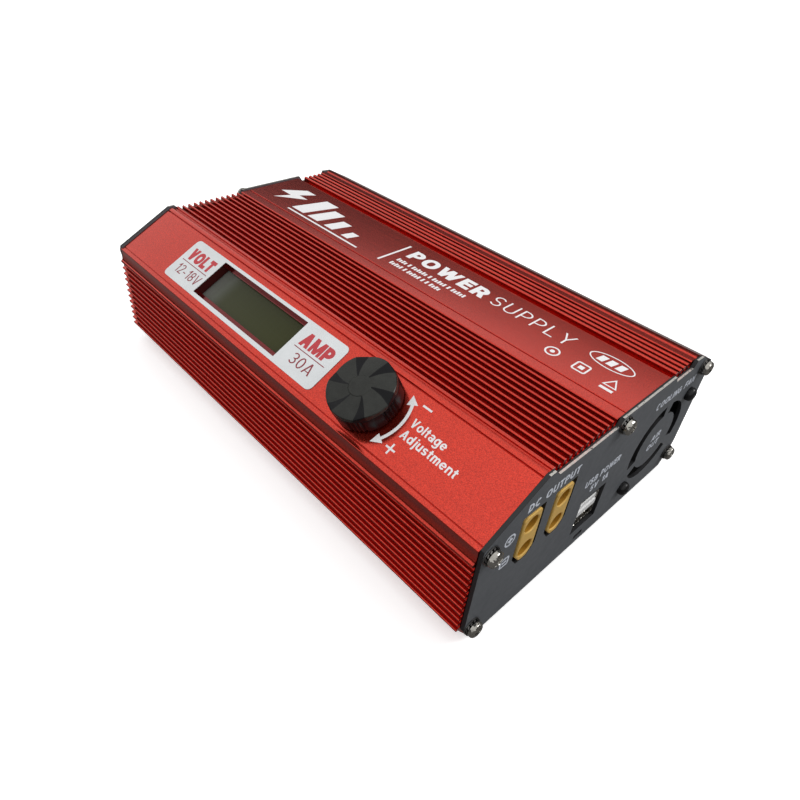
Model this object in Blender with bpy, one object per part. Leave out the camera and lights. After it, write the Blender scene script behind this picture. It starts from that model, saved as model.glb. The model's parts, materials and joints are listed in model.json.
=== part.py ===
"""Bench DC power supply in a finned aluminium extrusion.

Axes: X along the extrusion (+X is the DC output end, -X the mains end), Y from
the control slope (front, -Y) to the back (+Y), Z up from the plane the rubber
feet stand on.  Dimensions are millimetres; meshes are written in metres.

The section is described in (y, z) with y = 0 at the tips of the front fins and
z = 0 at the underside of the case; world() moves it so that the origin is the
middle of the footprint on the resting plane.  Places on the control slope are
given as x, s (distance up the slope) and d (depth below its surface).
"""
import math
import bpy
import bmesh
from mathutils import Vector
from mathutils.geometry import tessellate_polygon

for old_object in list(bpy.data.objects):
    bpy.data.objects.remove(old_object, do_unlink=True)

# ---------------------------------------------------------------- shared dimensions
MM = 0.001
CASE_LEN = 230.0
CASE_END = CASE_LEN / 2
CASE_WIDTH = 141.8        # fin tip to fin tip
CASE_TOP = 63.0           # top lands above the underside
FOOT_H = 2.0
PLATE_T = 1.5             # end plate sheet thickness
PLATE_GAP = 0.3           # joint between plate and extrusion
PLATE_INNER = CASE_END + PLATE_GAP
PLATE_OUTER = PLATE_INNER + PLATE_T
SLOPE_ANGLE = math.radians(27.05)
SLOPE_Y0, SLOPE_Z0 = 3.45, 49.4   # lower edge of the control slope
SLOPE_LEN = 28.3
SLOPE_WALL = 4.0
SLOPE_COS, SLOPE_SIN = math.cos(SLOPE_ANGLE), math.sin(SLOPE_ANGLE)
# y, z of the screw ports in the extrusion
PORTS = ((6.2, 46.3), (5.3, 9.4), (72.4, 60.0), (132.2, 57.2), (134.9, 8.8))
FAN_Y, FAN_Z = 112.2, 29.0
FAN_HOLE = 16.4           # screw hole offset from the fan axis, along y and z
SOCKET_YS = (26.3, 43.2)
SOCKET_Z = 38.6
SOCKET_PITCH = 11.9       # plus pole above minus pole
POLES = (('plus', 1), ('minus', -1))
USB_Y, USB_Z = 69.2, 18.6
WINDOW_X0, WINDOW_X1 = -55.8, 4.4
WINDOW_S0, WINDOW_S1 = 5.2, 24.1
KNOB_X, KNOB_S = 50.5, 14.5
BUSH_HOLE_R = 4.7         # hole for the potentiometer bush
INLET_Y, INLET_Z = 108.0, 30.0
ROCKER_Y, ROCKER_Z = 66.0, 30.0
BOARD_Z, BOARD_T = 8.0, 1.6       # underside and thickness of the main board

# ---------------------------------------------------------------- finishes
# base colour (red, green, blue), roughness, metallic
RED = ((0.42, 0.035, 0.022), 0.38, 0.9)
SLATE = ((0.075, 0.08, 0.088), 0.55, 0.0)
STEEL = ((0.62, 0.62, 0.61), 0.3, 1.0)
BLACK_STEEL = ((0.02, 0.02, 0.022), 0.35, 0.6)
BLACK = ((0.018, 0.018, 0.02), 0.45, 0.0)
AMBER = ((0.72, 0.42, 0.06), 0.45, 0.0)
BRASS = ((0.75, 0.55, 0.22), 0.3, 1.0)
ALUMINIUM = ((0.7, 0.7, 0.7), 0.4, 1.0)
SILVER = ((0.75, 0.76, 0.77), 0.45, 0.6)
GLASS = ((0.05, 0.06, 0.035), 0.1, 0.0)
GREEN = ((0.03, 0.16, 0.06), 0.5, 0.0)
FERRITE = ((0.05, 0.05, 0.052), 0.7, 0.0)
COPPER = ((0.6, 0.25, 0.1), 0.35, 1.0)
CREAM = ((0.7, 0.66, 0.5), 0.6, 0.0)
SLEEVE = ((0.03, 0.06, 0.16), 0.45, 0.0)
RUBBER = ((0.015, 0.015, 0.015), 0.85, 0.0)
WHITE = ((0.7, 0.7, 0.7), 0.5, 0.0)


def material(name, finish):
    rgb, roughness, metallic = finish
    mat = bpy.data.materials.new(name)
    mat.use_nodes = True
    inputs = mat.node_tree.nodes['Principled BSDF'].inputs
    inputs['Base Color'].default_value = (*rgb, 1.0)
    inputs['Roughness'].default_value = roughness
    inputs['Metallic'].default_value = metallic
    mat.diffuse_color = (*rgb, 1.0)
    return mat


# ---------------------------------------------------------------- frames
def world(x, y, z):
    """section millimetres -> world millimetres"""
    return (x, y - CASE_WIDTH / 2, z + FOOT_H)


def slope(s, d):
    """(y, z) of a point s up the control slope and d below its surface"""
    return (SLOPE_Y0 + SLOPE_COS * s + SLOPE_SIN * d, SLOPE_Z0 + SLOPE_SIN * s - SLOPE_COS * d)


def on_slope(x, s):
    """local (u along X, v up the slope, h above the surface) -> world"""
    return lambda u, v, h: world(x + u, *slope(s + v, -h))


def along_x(x, y, z, sign=1.0):
    """local (u, v) in the section, h along +X (or -X) -> world"""
    return lambda u, v, h: world(x + sign * h, y + sign * u, z + v)


def upright(x, y):
    """local (u, v) in plan, h above the underside of the case -> world"""
    return lambda u, v, h: world(x + u, y + v, h)


# ---------------------------------------------------------------- flat outlines
def rect(u0, u1, v0, v1):
    return [(u0, v0), (u1, v0), (u1, v1), (u0, v1)]


def rect_at(u, v, width, height):
    return rect(u - width / 2, u + width / 2, v - height / 2, v + height / 2)


def arc(u, v, r, start, end, steps):
    """points from start to end degrees, both included"""
    angles = [math.radians(start + (end - start) * i / steps) for i in range(steps + 1)]
    return [(u + r * math.cos(a), v + r * math.sin(a)) for a in angles]


def rounded(u0, u1, v0, v1, r, steps):
    """rectangle with rounded corners"""
    corners = ((u1 - r, v0 + r, -90), (u1 - r, v1 - r, 0),
               (u0 + r, v1 - r, 90), (u0 + r, v0 + r, 180))
    return [p for u, v, start in corners for p in arc(u, v, r, start, start + 90, steps)]


def rounded_at(u, v, width, height, r, steps):
    return rounded(u - width / 2, u + width / 2, v - height / 2, v + height / 2, r, steps)


def circle(u, v, r, sides):
    angles = [2 * math.pi * i / sides for i in range(sides)]
    return [(u + r * math.cos(a), v + r * math.sin(a)) for a in angles]


# ---------------------------------------------------------------- bodies
# A body is a pair (vertices in world millimetres, faces).
def prism(outline, start, end, place, holes=()):
    """closed prism of an outline with holes; place maps (third axis, u, v)"""
    loops = [list(outline)] + [list(hole) for hole in holes]
    caps = tessellate_polygon([[Vector((u, v, 0)) for u, v in loop] for loop in loops])
    flat = [p for loop in loops for p in loop]
    count = len(flat)
    verts = [place(level, u, v) for level in (start, end) for u, v in flat]
    faces = [tuple(t) for t in caps] + [tuple(i + count for i in reversed(t)) for t in caps]
    first = 0
    for loop in loops:
        for i in range(len(loop)):
            p, q = first + i, first + (i + 1) % len(loop)
            faces.append((p, q, q + count, p + count))
        first += len(loop)
    return verts, faces


def prism_x(outline, x0, x1, holes=()):
    """outline in (y, z)"""
    return prism(outline, x0, x1, world, holes)


def prism_y(outline, y0, y1, holes=()):
    """outline in (x, z)"""
    return prism(outline, y0, y1, lambda y, x, z: world(x, y, z), holes)


def prism_z(outline, z0, z1, holes=()):
    """outline in (x, y)"""
    return prism(outline, z0, z1, lambda z, x, y: world(x, y, z), holes)


def prism_slope(outline, d0, d1, holes=()):
    """outline in (x, s) on the control slope, from depth d0 to d1"""
    return prism(outline, d0, d1, lambda d, x, s: world(x, *slope(s, d)), holes)


def skin(rows):
    """faces between successive closed rows of points; a row of one point is a tip"""
    verts = [p for row in rows for p in row]
    faces = []
    start = 0
    for low, high in zip(rows, rows[1:]):
        above = start + len(low)
        count = max(len(low), len(high))
        for i in range(count):
            j = (i + 1) % count
            if len(low) == 1:
                faces.append((start, above + j, above + i))
            elif len(high) == 1:
                faces.append((start + i, start + j, above))
            else:
                faces.append((start + i, start + j, above + j, above + i))
        start = above
    return verts, faces


def turned(stations, sides, place):
    """turned body from (radius or radius function, height); radius 0 is a tip"""
    rows = []
    for radius, h in stations:
        if radius == 0:
            rows.append([place(0.0, 0.0, h)])
            continue
        row = []
        for k in range(sides):
            a = 2 * math.pi * k / sides
            r = radius(k) if callable(radius) else radius
            row.append(place(r * math.cos(a), r * math.sin(a), h))
        rows.append(row)
    return skin(rows)


def cylinder(r, h0, h1, sides, place):
    return turned([(0, h0), (r, h0), (r, h1), (0, h1)], sides, place)


def torus(x, y, z, ring_r, tube_r, ring_sides=24, tube_sides=10):
    rows = []
    for i in range(ring_sides):
        a = 2 * math.pi * i / ring_sides
        row = []
        for j in range(tube_sides):
            b = 2 * math.pi * j / tube_sides
            r = ring_r + tube_r * math.cos(b)
            row.append(world(x + r * math.cos(a), y + r * math.sin(a), z + tube_r * math.sin(b)))
        rows.append(row)
    return skin(rows + rows[:1])


# ---------------------------------------------------------------- objects
def link_mesh(name, body, origin=(0, 0, 0)):
    """object in metres with merged vertices and outward normals"""
    verts, faces = body
    base = Vector(origin)
    mesh = bpy.data.meshes.new(name)
    mesh.from_pydata([tuple((Vector(v) - base) * MM) for v in verts], [], faces)
    bm = bmesh.new()
    bm.from_mesh(mesh)
    bmesh.ops.remove_doubles(bm, verts=bm.verts, dist=1e-7)
    bmesh.ops.recalc_face_normals(bm, faces=bm.faces)
    bm.to_mesh(mesh)
    bm.free()
    ob = bpy.data.objects.new(name, mesh)
    ob.location = base * MM
    bpy.context.scene.collection.objects.link(ob)
    return ob


def add(name, body, finish, origin=(0, 0, 0), smooth=False):
    """named piece with its own material; origin is in world millimetres"""
    ob = link_mesh(name, body, origin)
    for face in ob.data.polygons:
        face.use_smooth = smooth
    ob.data.materials.append(material(name + '_mat', finish))
    return ob


def combine(ob, body, operation):
    """apply one exact Boolean with a temporary body"""
    other = link_mesh('tool', body)
    bpy.context.view_layer.update()
    modifier = ob.modifiers.new('b', 'BOOLEAN')
    modifier.operation = operation
    modifier.solver = 'EXACT'
    modifier.object = other
    bpy.context.view_layer.update()
    depsgraph = bpy.context.evaluated_depsgraph_get()
    mesh = bpy.data.meshes.new_from_object(ob.evaluated_get(depsgraph))
    ob.modifiers.remove(modifier)
    old = ob.data
    materials = list(old.materials)
    ob.data = mesh
    mesh.name = ob.name
    mesh.materials.clear()
    for mat in materials:
        mesh.materials.append(mat)
    for face in mesh.polygons:
        face.material_index = 0
    bpy.data.meshes.remove(old)
    bpy.data.objects.remove(other, do_unlink=True)


def cut(ob, body):
    combine(ob, body, 'DIFFERENCE')


def join(ob, body):
    combine(ob, body, 'UNION')


# ---------------------------------------------------------------- extrusion
FLOOR_Z = 60.0            # bottom of the top fin grooves
REAR_FLOOR_Z = 60.3       # the same for the rear group of top fins
CEILING_Z = 57.4          # inside face of the top wall
SIDE_Z0, SIDE_PITCH = 9.0, 3.06   # lowest side fin and spacing
FRONT_FINS, BACK_FINS = 11, 14
FRONT_LEAN, FRONT_LEAN_Z = 0.032, 8.7   # front fin tips: y per z, and z where y = 0
BACK_GROOVE_Y = 140.2
TOP_FIN_Y0, TOP_PITCH, TOP_FINS = 36.65, 3.04, 11
REAR_FIN_Y0, REAR_PITCH, REAR_FINS = 110.5, 3.02, 4
COVER_Y0, COVER_Y1 = 12.0, 129.8  # opening in the underside
COVER_T = 2.5
LEDGE_Z0, LEDGE_Z1 = 2.8, 4.4     # ledges over the bottom cover

# front fin: y behind the tip, z from the fin centre
FRONT_FIN = ((1.6, -0.85), (0.14, -0.5), (0, 0), (0.14, 0.5), (1.6, 0.85))
# top fins: half width, z
TOP_FIN = ((0.85, FLOOR_Z), (0.76, 62.7), (0.45, CASE_TOP))
REAR_FIN = ((1.05, REAR_FLOOR_Z), (0.98, 62.7), (0.68, CASE_TOP))

# pieces of the section between the fins and the slope, as y, z
FRONT_SHOULDER = [
    (2.7, 41.6), (1.25, 42.3), (1.1, 43.0), (1.35, 43.5), (2.5, 44.1), (3.3, 45.1),
    (3.55, 46.5), (3.45, 47.6), (3.2, 48.4), (2.75, 48.8), (2.75, 49.15)]
FRONT_LAND = [
    (29.6, 62.83), (30.4, CASE_TOP), (31.1, CASE_TOP), (31.25, 62.3), (31.85, 62.3),
    (31.95, 62.6), (32.4, 62.6), (32.5, 62.15), (32.9, 62.15), (33.0, 62.75),
    (33.25, CASE_TOP), (34.2, CASE_TOP), (34.45, 62.75), (34.55, FLOOR_Z)]
MIDDLE_LAND = [
    (69.15, FLOOR_Z), (69.3, 61.9), (69.6, 62.25), (74.1, 62.8), (74.2, 62.5), (74.45, 62.5),
    (74.55, CASE_TOP), (105.3, CASE_TOP), (105.6, 62.8), (105.7, 61.8), (107.2, 61.7),
    (107.4, FLOOR_Z)]
BACK_SHOULDER = [
    (121.55, REAR_FLOOR_Z), (121.65, 62.7), (121.95, CASE_TOP), (124.1, CASE_TOP),
    (124.4, 62.75), (125.6, 62.75), (125.95, 63.15), (127.9, 63.15), (128.7, 62.95),
    (138.4, 58.0), (139.9, 56.9), (140.9, 55.3), (141.1, 53.9), (BACK_GROOVE_Y, 52.6)]
BACK_AND_CEILING_INSIDE = [
    (COVER_Y1, LEDGE_Z0), (126.0, LEDGE_Z0), (126.0, LEDGE_Z1), (131.2, LEDGE_Z1),
    (132.0, 6.8), (132.0, 10.2), (133.4, 11.8), (137.4, 12.4), (137.4, 50.0), (137.2, 52.6),
    (134.8, 53.4), (131.6, 53.5), (129.2, 55.0), (128.6, CEILING_Z), (76.6, CEILING_Z),
    (75.0, 56.1), (69.8, 56.1), (68.2, CEILING_Z)]
FRONT_INSIDE = [
    (9.7, 47.2), (9.5, 45.0), (8.3, 43.4), (6.4, 42.9), (5.4, 42.0), (4.7, 13.4), (6.4, 12.9),
    (8.2, 11.7), (8.9, 9.6), (8.7, 6.4), (9.6, LEDGE_Z1), (15.8, LEDGE_Z1), (15.8, LEDGE_Z0),
    (COVER_Y0, LEDGE_Z0)]


def top_fins(first, pitch, count, profile):
    """row of symmetrical fins, front to back"""
    points = []
    for i in range(count):
        centre = first + pitch * i
        points += [(centre - half, z) for half, z in profile]
        points += [(centre + half, z) for half, z in reversed(profile)]
    return points


def case_section():
    """outside from the front bottom edge over the top to the back, then the inside"""
    points = [(COVER_Y0, 0.0), (6.5, 0.0), (1.8, 7.4)]
    for i in range(FRONT_FINS):
        z = SIDE_Z0 + SIDE_PITCH * i
        tip = (z - FRONT_LEAN_Z) * FRONT_LEAN
        points += [(tip + back, z + rise) for back, rise in FRONT_FIN]
    points += FRONT_SHOULDER
    # the slope has a small groove near each edge
    points += [slope(-0.1, 0.0), slope(0.7, 0.0), slope(0.92, 0.35), slope(1.14, 0.0),
               slope(SLOPE_LEN - 0.3, 0.0), slope(SLOPE_LEN, 0.75), slope(SLOPE_LEN + 0.3, 0.0)]
    points += FRONT_LAND + top_fins(TOP_FIN_Y0, TOP_PITCH, TOP_FINS, TOP_FIN)
    points += MIDDLE_LAND + top_fins(REAR_FIN_Y0, REAR_PITCH, REAR_FINS, REAR_FIN)
    points += BACK_SHOULDER
    for i in reversed(range(BACK_FINS)):
        z = SIDE_Z0 + SIDE_PITCH * i
        points += [(BACK_GROOVE_Y, z + 0.85), (CASE_WIDTH, z + 0.45),
                   (CASE_WIDTH, z - 0.45), (BACK_GROOVE_Y, z - 0.85)]
    points += [(140.0, 7.2), (135.3, 0.0), (COVER_Y1, 0.0)]
    points += BACK_AND_CEILING_INSIDE
    ceiling_s = (CEILING_Z - SLOPE_Z0 + SLOPE_COS * SLOPE_WALL) / SLOPE_SIN
    points += [slope(ceiling_s, SLOPE_WALL), slope(6.2, SLOPE_WALL)]
    return points + FRONT_INSIDE


def build_case():
    port_holes = [circle(y, z, 1.4, 10) for y, z in PORTS]
    case = add('case_extrusion', prism_x(case_section(), -CASE_END, CASE_END, port_holes), RED)
    # the display window narrows to leave a lip along its lower and upper edges
    through = SLOPE_WALL + 3.0
    cut(case, prism_slope(rect(WINDOW_X0, WINDOW_X1, WINDOW_S0, WINDOW_S1), -1.0, 3.0))
    cut(case, prism_slope(rect(WINDOW_X0, WINDOW_X1, 7.3, 22.9), 2.0, through))
    cut(case, prism_slope(circle(KNOB_X, KNOB_S, BUSH_HOLE_R, 24), -1.0, through))


def build_bottom_cover():
    """cover under the ledges, with studs that carry the main board"""
    side_gap = 0.4
    outline = rect(COVER_Y0 + side_gap, COVER_Y1 - side_gap, 0.0, COVER_T)
    cover = add('bottom_cover', prism_x(outline, -CASE_END, CASE_END), RED)
    for x in (-84.0, 84.0):
        for y in (20.0, 118.0):
            join(cover, cylinder(2.6, COVER_T - 0.6, BOARD_Z - 0.3, 12, upright(x, y)))


def build_feet():
    profile = [(0, -FOOT_H), (5.4, -FOOT_H), (6.0, -FOOT_H + 0.5), (6.0, -0.1), (0, -0.1)]
    places = [(x, y) for x in (-100.0, 100.0) for y in (24.0, 118.0)]
    for i, (x, y) in enumerate(places, 1):
        add('rubber_foot_%d' % i, turned(profile, 20, upright(x, y)), RUBBER)


build_case()
build_bottom_cover()
build_feet()

# ---------------------------------------------------------------- end plates
# y, z from the front bottom corner round the back and over the top
PLATE_OUTLINE = [
    (7.8, 0.4), (134.2, 0.4), (139.6, 8.6), (140.6, 12.0), (140.6, 54.4), (139.6, 57.2),
    (128.8, 63.1), (123.6, 63.5), (121.8, 60.6), (108.6, 60.6), (106.8, 63.5), (70.6, 63.5),
    (68.8, 60.6), (35.4, 60.6), (32.6, 63.5), (29.6, 63.5), slope(-0.2, -0.7), (2.8, 49.0),
    (2.6, 43.5), (1.9, 9.0)]
FAN_SLOT_R0, FAN_SLOT_R1 = 13.25, 18.6
FAN_SLOTS = ((-20.0, 80.0), (95.0, 199.0), (217.5, 323.5))   # start, end in degrees
VENTS, VENT_Y0, VENT_PITCH = 7, 18.0, 5.0


def arc_slot(y, z, r0, r1, start, end, steps=9):
    return arc(y, z, r1, start, end, steps) + arc(y, z, r0, end, start, steps)


def socket_outline(y, z, width, height, top, low_y, low_z):
    """two poles: corners cut by top at the plus end, by low_y and low_z at the minus end"""
    y0, y1, z0, z1 = y - width / 2, y + width / 2, z - height / 2, z + height / 2
    return [(y0 + low_y, z0), (y1 - low_y, z0), (y1, z0 + low_z), (y1, z1 - top),
            (y1 - top, z1), (y0 + top, z1), (y0, z1 - top), (y0, z0 + low_z)]


def plate_screw_holes():
    return [circle(y, z, 1.55, 12) for y, z in PORTS]


def build_output_plate():
    holes = plate_screw_holes()
    holes += [circle(FAN_Y + s * FAN_HOLE, FAN_Z + s * FAN_HOLE, 1.7, 12) for s in (-1, 1)]
    holes += [socket_outline(y, SOCKET_Z, 11.8, 24.4, 0.4, 3.0, 4.4) for y in SOCKET_YS]
    holes.append(rect(60.6, 76.9, 10.3, 28.5))   # USB opening
    holes.append(rect(65.3, 71.0, 3.9, 6.0))     # small slot below it
    holes += [arc_slot(FAN_Y, FAN_Z, FAN_SLOT_R0, FAN_SLOT_R1, *span) for span in FAN_SLOTS]
    add('output_end_plate', prism_x(PLATE_OUTLINE, PLATE_INNER, PLATE_OUTER, holes), SLATE)


def build_input_plate():
    holes = plate_screw_holes()
    holes.append(rect_at(INLET_Y, INLET_Z, 27.6, 20.2))
    holes.append(rect_at(ROCKER_Y, ROCKER_Z, 13.4, 19.8))
    for i in range(VENTS):
        holes.append(rounded_at(VENT_Y0 + VENT_PITCH * i, 30.0, 2.5, 24.0, 1.24, 3))
    add('input_end_plate', prism_x(PLATE_OUTLINE, -PLATE_OUTER, -PLATE_INNER, holes), SLATE)


build_output_plate()
build_input_plate()


# ---------------------------------------------------------------- screws
SCREW_SEAT = 0.05         # clearance above the plate face
WASHER_R, WASHER_H, WASHER_TOOTH = 3.45, 1.3, 0.45


def cross_recess(place, half_u, half_v, top):
    """one bar of the cross, tapered towards its floor"""
    verts = []
    for h, scale in ((top - 1.25, 0.62), (top + 0.5, 1.0)):
        for u, v in rect(-half_u, half_u, -half_v, half_v):
            verts.append(place(u * scale, v * scale, h))
    faces = [(0, 3, 2, 1), (4, 5, 6, 7), (0, 1, 5, 4), (1, 2, 6, 5), (2, 3, 7, 6), (3, 0, 4, 7)]
    return verts, faces


def screw(name, place, finish, washer, head_r, head_h, shank_r, length, sides):
    """pan-head screw; place() maps (u, v, h) with h = 0 on the plate face"""
    stations = [(0, -length), (shank_r * 0.75, -length), (shank_r, -length + 0.7),
                (shank_r, SCREW_SEAT)]
    seat, edge = SCREW_SEAT, 0.0
    if washer:
        seat, edge = SCREW_SEAT + WASHER_H, 0.15
        def teeth(k):
            return WASHER_R if k % 2 == 0 else WASHER_R - WASHER_TOOTH
        stations += [(teeth, SCREW_SEAT), (teeth, seat), (head_r - edge, seat)]
    top = seat + head_h
    stations += [(head_r, seat + edge), (head_r, seat + head_h * 0.45),
                 (head_r * 0.86, seat + head_h * 0.8), (head_r * 0.45, top), (0, top)]
    ob = add(name, turned(stations, sides, place), finish)
    bar_width, bar_length = 0.42, head_r * 0.62
    cut(ob, cross_recess(place, bar_length, bar_width, top))
    cut(ob, cross_recess(place, bar_width, bar_length, top))


def build_screws():
    for i, (y, z) in enumerate(PORTS, 1):
        for end, sign in (('output', 1.0), ('input', -1.0)):
            screw('%s_plate_screw_%d' % (end, i), along_x(sign * PLATE_OUTER, y, z, sign), STEEL,
                  washer=True, head_r=3.1, head_h=2.3, shank_r=1.15, length=9.0, sides=16)
    for i, s in enumerate((-1, 1), 1):
        place = along_x(PLATE_OUTER, FAN_Y + s * FAN_HOLE, FAN_Z + s * FAN_HOLE)
        screw('fan_screw_%d' % i, place, BLACK_STEEL,
              washer=False, head_r=3.0, head_h=2.9, shank_r=1.35, length=10.0, sides=14)


build_screws()

# ---------------------------------------------------------------- fan
FAN_SIDE, FAN_DEPTH = 39.6, 10.0
FAN_X1 = CASE_END
FAN_X0 = FAN_X1 - FAN_DEPTH
SPIDER_TIP_R, SPIDER_HUB_R = 19.2, 9.6
SPIDER_ROOT = 0.13        # half angle of an arm at the hub, radians
BLADES = 7
ROTOR_HUB_R, BLADE_TIP_R = 8.6, 17.4
# one blade in section: radius, angle in radians
BLADE = ((ROTOR_HUB_R, -0.10), (12.5, -0.02), (BLADE_TIP_R, 0.10),
         (BLADE_TIP_R, 0.20), (12.5, 0.10), (ROTOR_HUB_R, 0.06))
# rotor levels: x from the inner face of the fan, twist in radians
ROTOR_LEVELS = ((2.3, 0.0), (4.9, 0.16), (7.6, 0.36))


def fan_point(r, a):
    return (FAN_Y + r * math.cos(a), FAN_Z + r * math.sin(a))


def build_fan_frame():
    """frame with a four-armed spider on its inner side"""
    holes = [circle(FAN_Y, FAN_Z, 18.9, 32)]
    holes += [circle(FAN_Y + a * FAN_HOLE, FAN_Z + b * FAN_HOLE, 1.7, 10)
              for a in (-1, 1) for b in (-1, 1)]
    outline = rounded_at(FAN_Y, FAN_Z, FAN_SIDE, FAN_SIDE, 4.5, 3)
    frame = add('fan_frame', prism_x(outline, FAN_X0, FAN_X1, holes), BLACK)
    spider = []
    for k in range(4):
        arm = math.radians(90 * k + 45)
        spider += [fan_point(SPIDER_TIP_R, arm - 0.06), fan_point(SPIDER_TIP_R, arm + 0.06)]
        for j in range(6):
            a = arm + SPIDER_ROOT + (math.pi / 2 - 2 * SPIDER_ROOT) * j / 5
            spider.append(fan_point(SPIDER_HUB_R, a))
    axle_hole = circle(FAN_Y, FAN_Z, 1.56, 24)
    join(frame, prism_x(spider, FAN_X0, FAN_X0 + 1.8, [axle_hole]))


def build_fan_rotor():
    """hub and twisted blades, with a pin that runs in the spider"""
    step = 2 * math.pi / BLADES
    outline = []
    for k in range(BLADES):
        start = 2 * math.pi * k / BLADES
        outline += [(r, start + a) for r, a in BLADE]
        outline += [(ROTOR_HUB_R, start + 0.06 + (step - 0.16) * j / 3) for j in (1, 2)]
    rows = [[world(FAN_X0 + x, *fan_point(r, a + twist)) for r, a in outline]
            for x, twist in ROTOR_LEVELS]
    verts, faces = skin(rows)
    caps = tessellate_polygon([[Vector((r * math.cos(a), r * math.sin(a), 0))
                                for r, a in outline]])
    last = len(outline) * (len(rows) - 1)
    faces += [tuple(t) for t in caps] + [tuple(i + last for i in reversed(t)) for t in caps]
    centre = world((FAN_X0 + FAN_X1) / 2, FAN_Y, FAN_Z)
    rotor = add('fan_rotor', (verts, faces), BLACK, origin=centre)
    join(rotor, cylinder(1.5, 0.3, 3.2, 24, along_x(FAN_X0, FAN_Y, FAN_Z)))


build_fan_frame()
build_fan_rotor()

# ---------------------------------------------------------------- DC output
# radius, x from the outer face of the plate; the mouth is hollow
CONTACT = ((0, -24.5), (1.9, -24.5), (1.9, -18.4), (3.1, -18.4),
           (3.1, -4.0), (2.3, -4.0), (2.3, -14.0), (0, -14.0))
USB_W, USB_H, USB_WALL = 14.2, 13.0, 0.5


def build_sockets():
    for i, y in enumerate(SOCKET_YS, 1):
        holes = [circle(y, SOCKET_Z + s * SOCKET_PITCH / 2, 3.45, 20) for s in (-1, 1)]
        outline = socket_outline(y, SOCKET_Z, 9.0, 22.4, 1.3, 2.6, 3.6)
        add('dc_socket_%d' % i, prism_x(outline, 99.0, PLATE_OUTER + 0.3, holes), AMBER)
        for pole, s in POLES:
            place = along_x(PLATE_OUTER, y, SOCKET_Z + s * SOCKET_PITCH / 2)
            add('contact_%s_%d' % (pole, i), turned(CONTACT, 16, place), BRASS)


def build_usb():
    outside = rounded_at(USB_Y, USB_Z, USB_W, USB_H, 0.8, 2)
    inside = rounded_at(USB_Y, USB_Z, USB_W - 2 * USB_WALL, USB_H - 2 * USB_WALL, 0.4, 2)
    shell = add('usb_shell', prism_x(outside, 101.5, 115.7), STEEL)
    cut(shell, prism_x(inside, 102.2, 117.0))
    tongue = rect(USB_Y - 6.3, USB_Y + 6.2, USB_Z - 1.3, USB_Z + 4.6)
    add('usb_tongue', prism_x(tongue, 102.5, 115.5), WHITE)


def build_output_board():
    """upright board behind the sockets, with holes for the contact tails"""
    holes = [circle(y, SOCKET_Z + s * SOCKET_PITCH / 2, 2.2, 14)
             for y in SOCKET_YS for s in (-1, 1)]
    add('output_board', prism_x(rect(19.0, 82.0, 10.6, 51.2), 96.2, 97.8, holes), GREEN)


build_sockets()
build_usb()
build_output_board()

# ---------------------------------------------------------------- display
# name, (x0, x1, s0, s1), depth from, depth to, finish
DISPLAY_SLABS = (
    ('lcd_glass', (-56.9, 5.5, 7.25, 23.15), 4.3, 6.3, GLASS),
    ('lcd_backlight', (-56.9, 5.5, 7.4, 23.0), 6.6, 8.6, WHITE),
    ('control_board', (-64.0, 62.0, 6.6, 24.4), 9.3, 10.9, GREEN),
)


def build_display():
    label = rounded(-79.95, 28.85, 3.35, 25.55, 2.3, 5)
    window = rect(WINDOW_X0, WINDOW_X1, WINDOW_S0, WINDOW_S1)
    add('display_label', prism_slope(label, -0.25, -0.05, [window]), SILVER)
    bezel, opening = rect(-62.0, 10.6, 6.5, 24.6), rect(-57.2, 5.8, 7.1, 23.3)
    add('lcd_bezel', prism_slope(bezel, 4.25, 9.0, [opening]), BLACK_STEEL)
    for name, extent, d0, d1, finish in DISPLAY_SLABS:
        add(name, prism_slope(rect(*extent), d0, d1), finish)


build_display()

# ---------------------------------------------------------------- knob
KNOB_R, KNOB_TOP_R, KNOB_H = 12.8, 12.5, 9.7
KNOB_BLADES = 6           # blades on the knob face
BLADE_POINTS = 9          # points round one blade
STEEP_POINTS = 2          # of these, steps on the steep facet
knob_frame = on_slope(KNOB_X, KNOB_S)
knob_origin = knob_frame(0.0, 0.0, 0.0)


def build_potentiometer():
    outline = rect_at(KNOB_X, KNOB_S, 11.0, 9.6)
    body = add('potentiometer_body', prism_slope(outline, 4.3, 9.0), BLACK_STEEL)
    join(body, cylinder(4.4, -6.0, 2.9, 24, knob_frame))
    cut(body, cylinder(3.06, -8.6, 4.0, 32, knob_frame))
    nut, bore = circle(KNOB_X, KNOB_S, 6.6, 6), circle(KNOB_X, KNOB_S, BUSH_HOLE_R, 24)
    add('potentiometer_nut', prism_slope(nut, -2.4, -0.3, [bore]), STEEL)
    shaft = [(0, -8.4), (3.0, -8.4), (3.0, 6.5), (2.6, 6.9), (0, 6.9)]
    add('potentiometer_shaft', turned(shaft, 32, knob_frame), STEEL, origin=knob_origin)


def knob_angle(k, t):
    """angle of point k; t = 0 at the centre disc, 1 at the rim where steep facets are widest"""
    blade, j = divmod(k, BLADE_POINTS)
    valley, ridge = 23.0 - 19.0 * t, 29.0 - 5.0 * t
    if j <= STEEP_POINTS:
        a = valley + (ridge - valley) * j / STEEP_POINTS
    else:
        fall = (j - STEEP_POINTS) / (BLADE_POINTS - STEEP_POINTS)
        a = ridge + (60.0 - ridge + valley) * fall
    return math.radians(a + 60.0 * blade)


def knob_drop(k, t):
    """depth of the blade surface at point k below the knob height"""
    j = k % BLADE_POINTS
    if j <= STEEP_POINTS:
        fall = 1.0 - j / STEEP_POINTS
    else:
        fall = (j - STEEP_POINTS) / (BLADE_POINTS - STEEP_POINTS)
    return 0.3 * t + (0.12 + 1.45 * t) * fall


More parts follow.
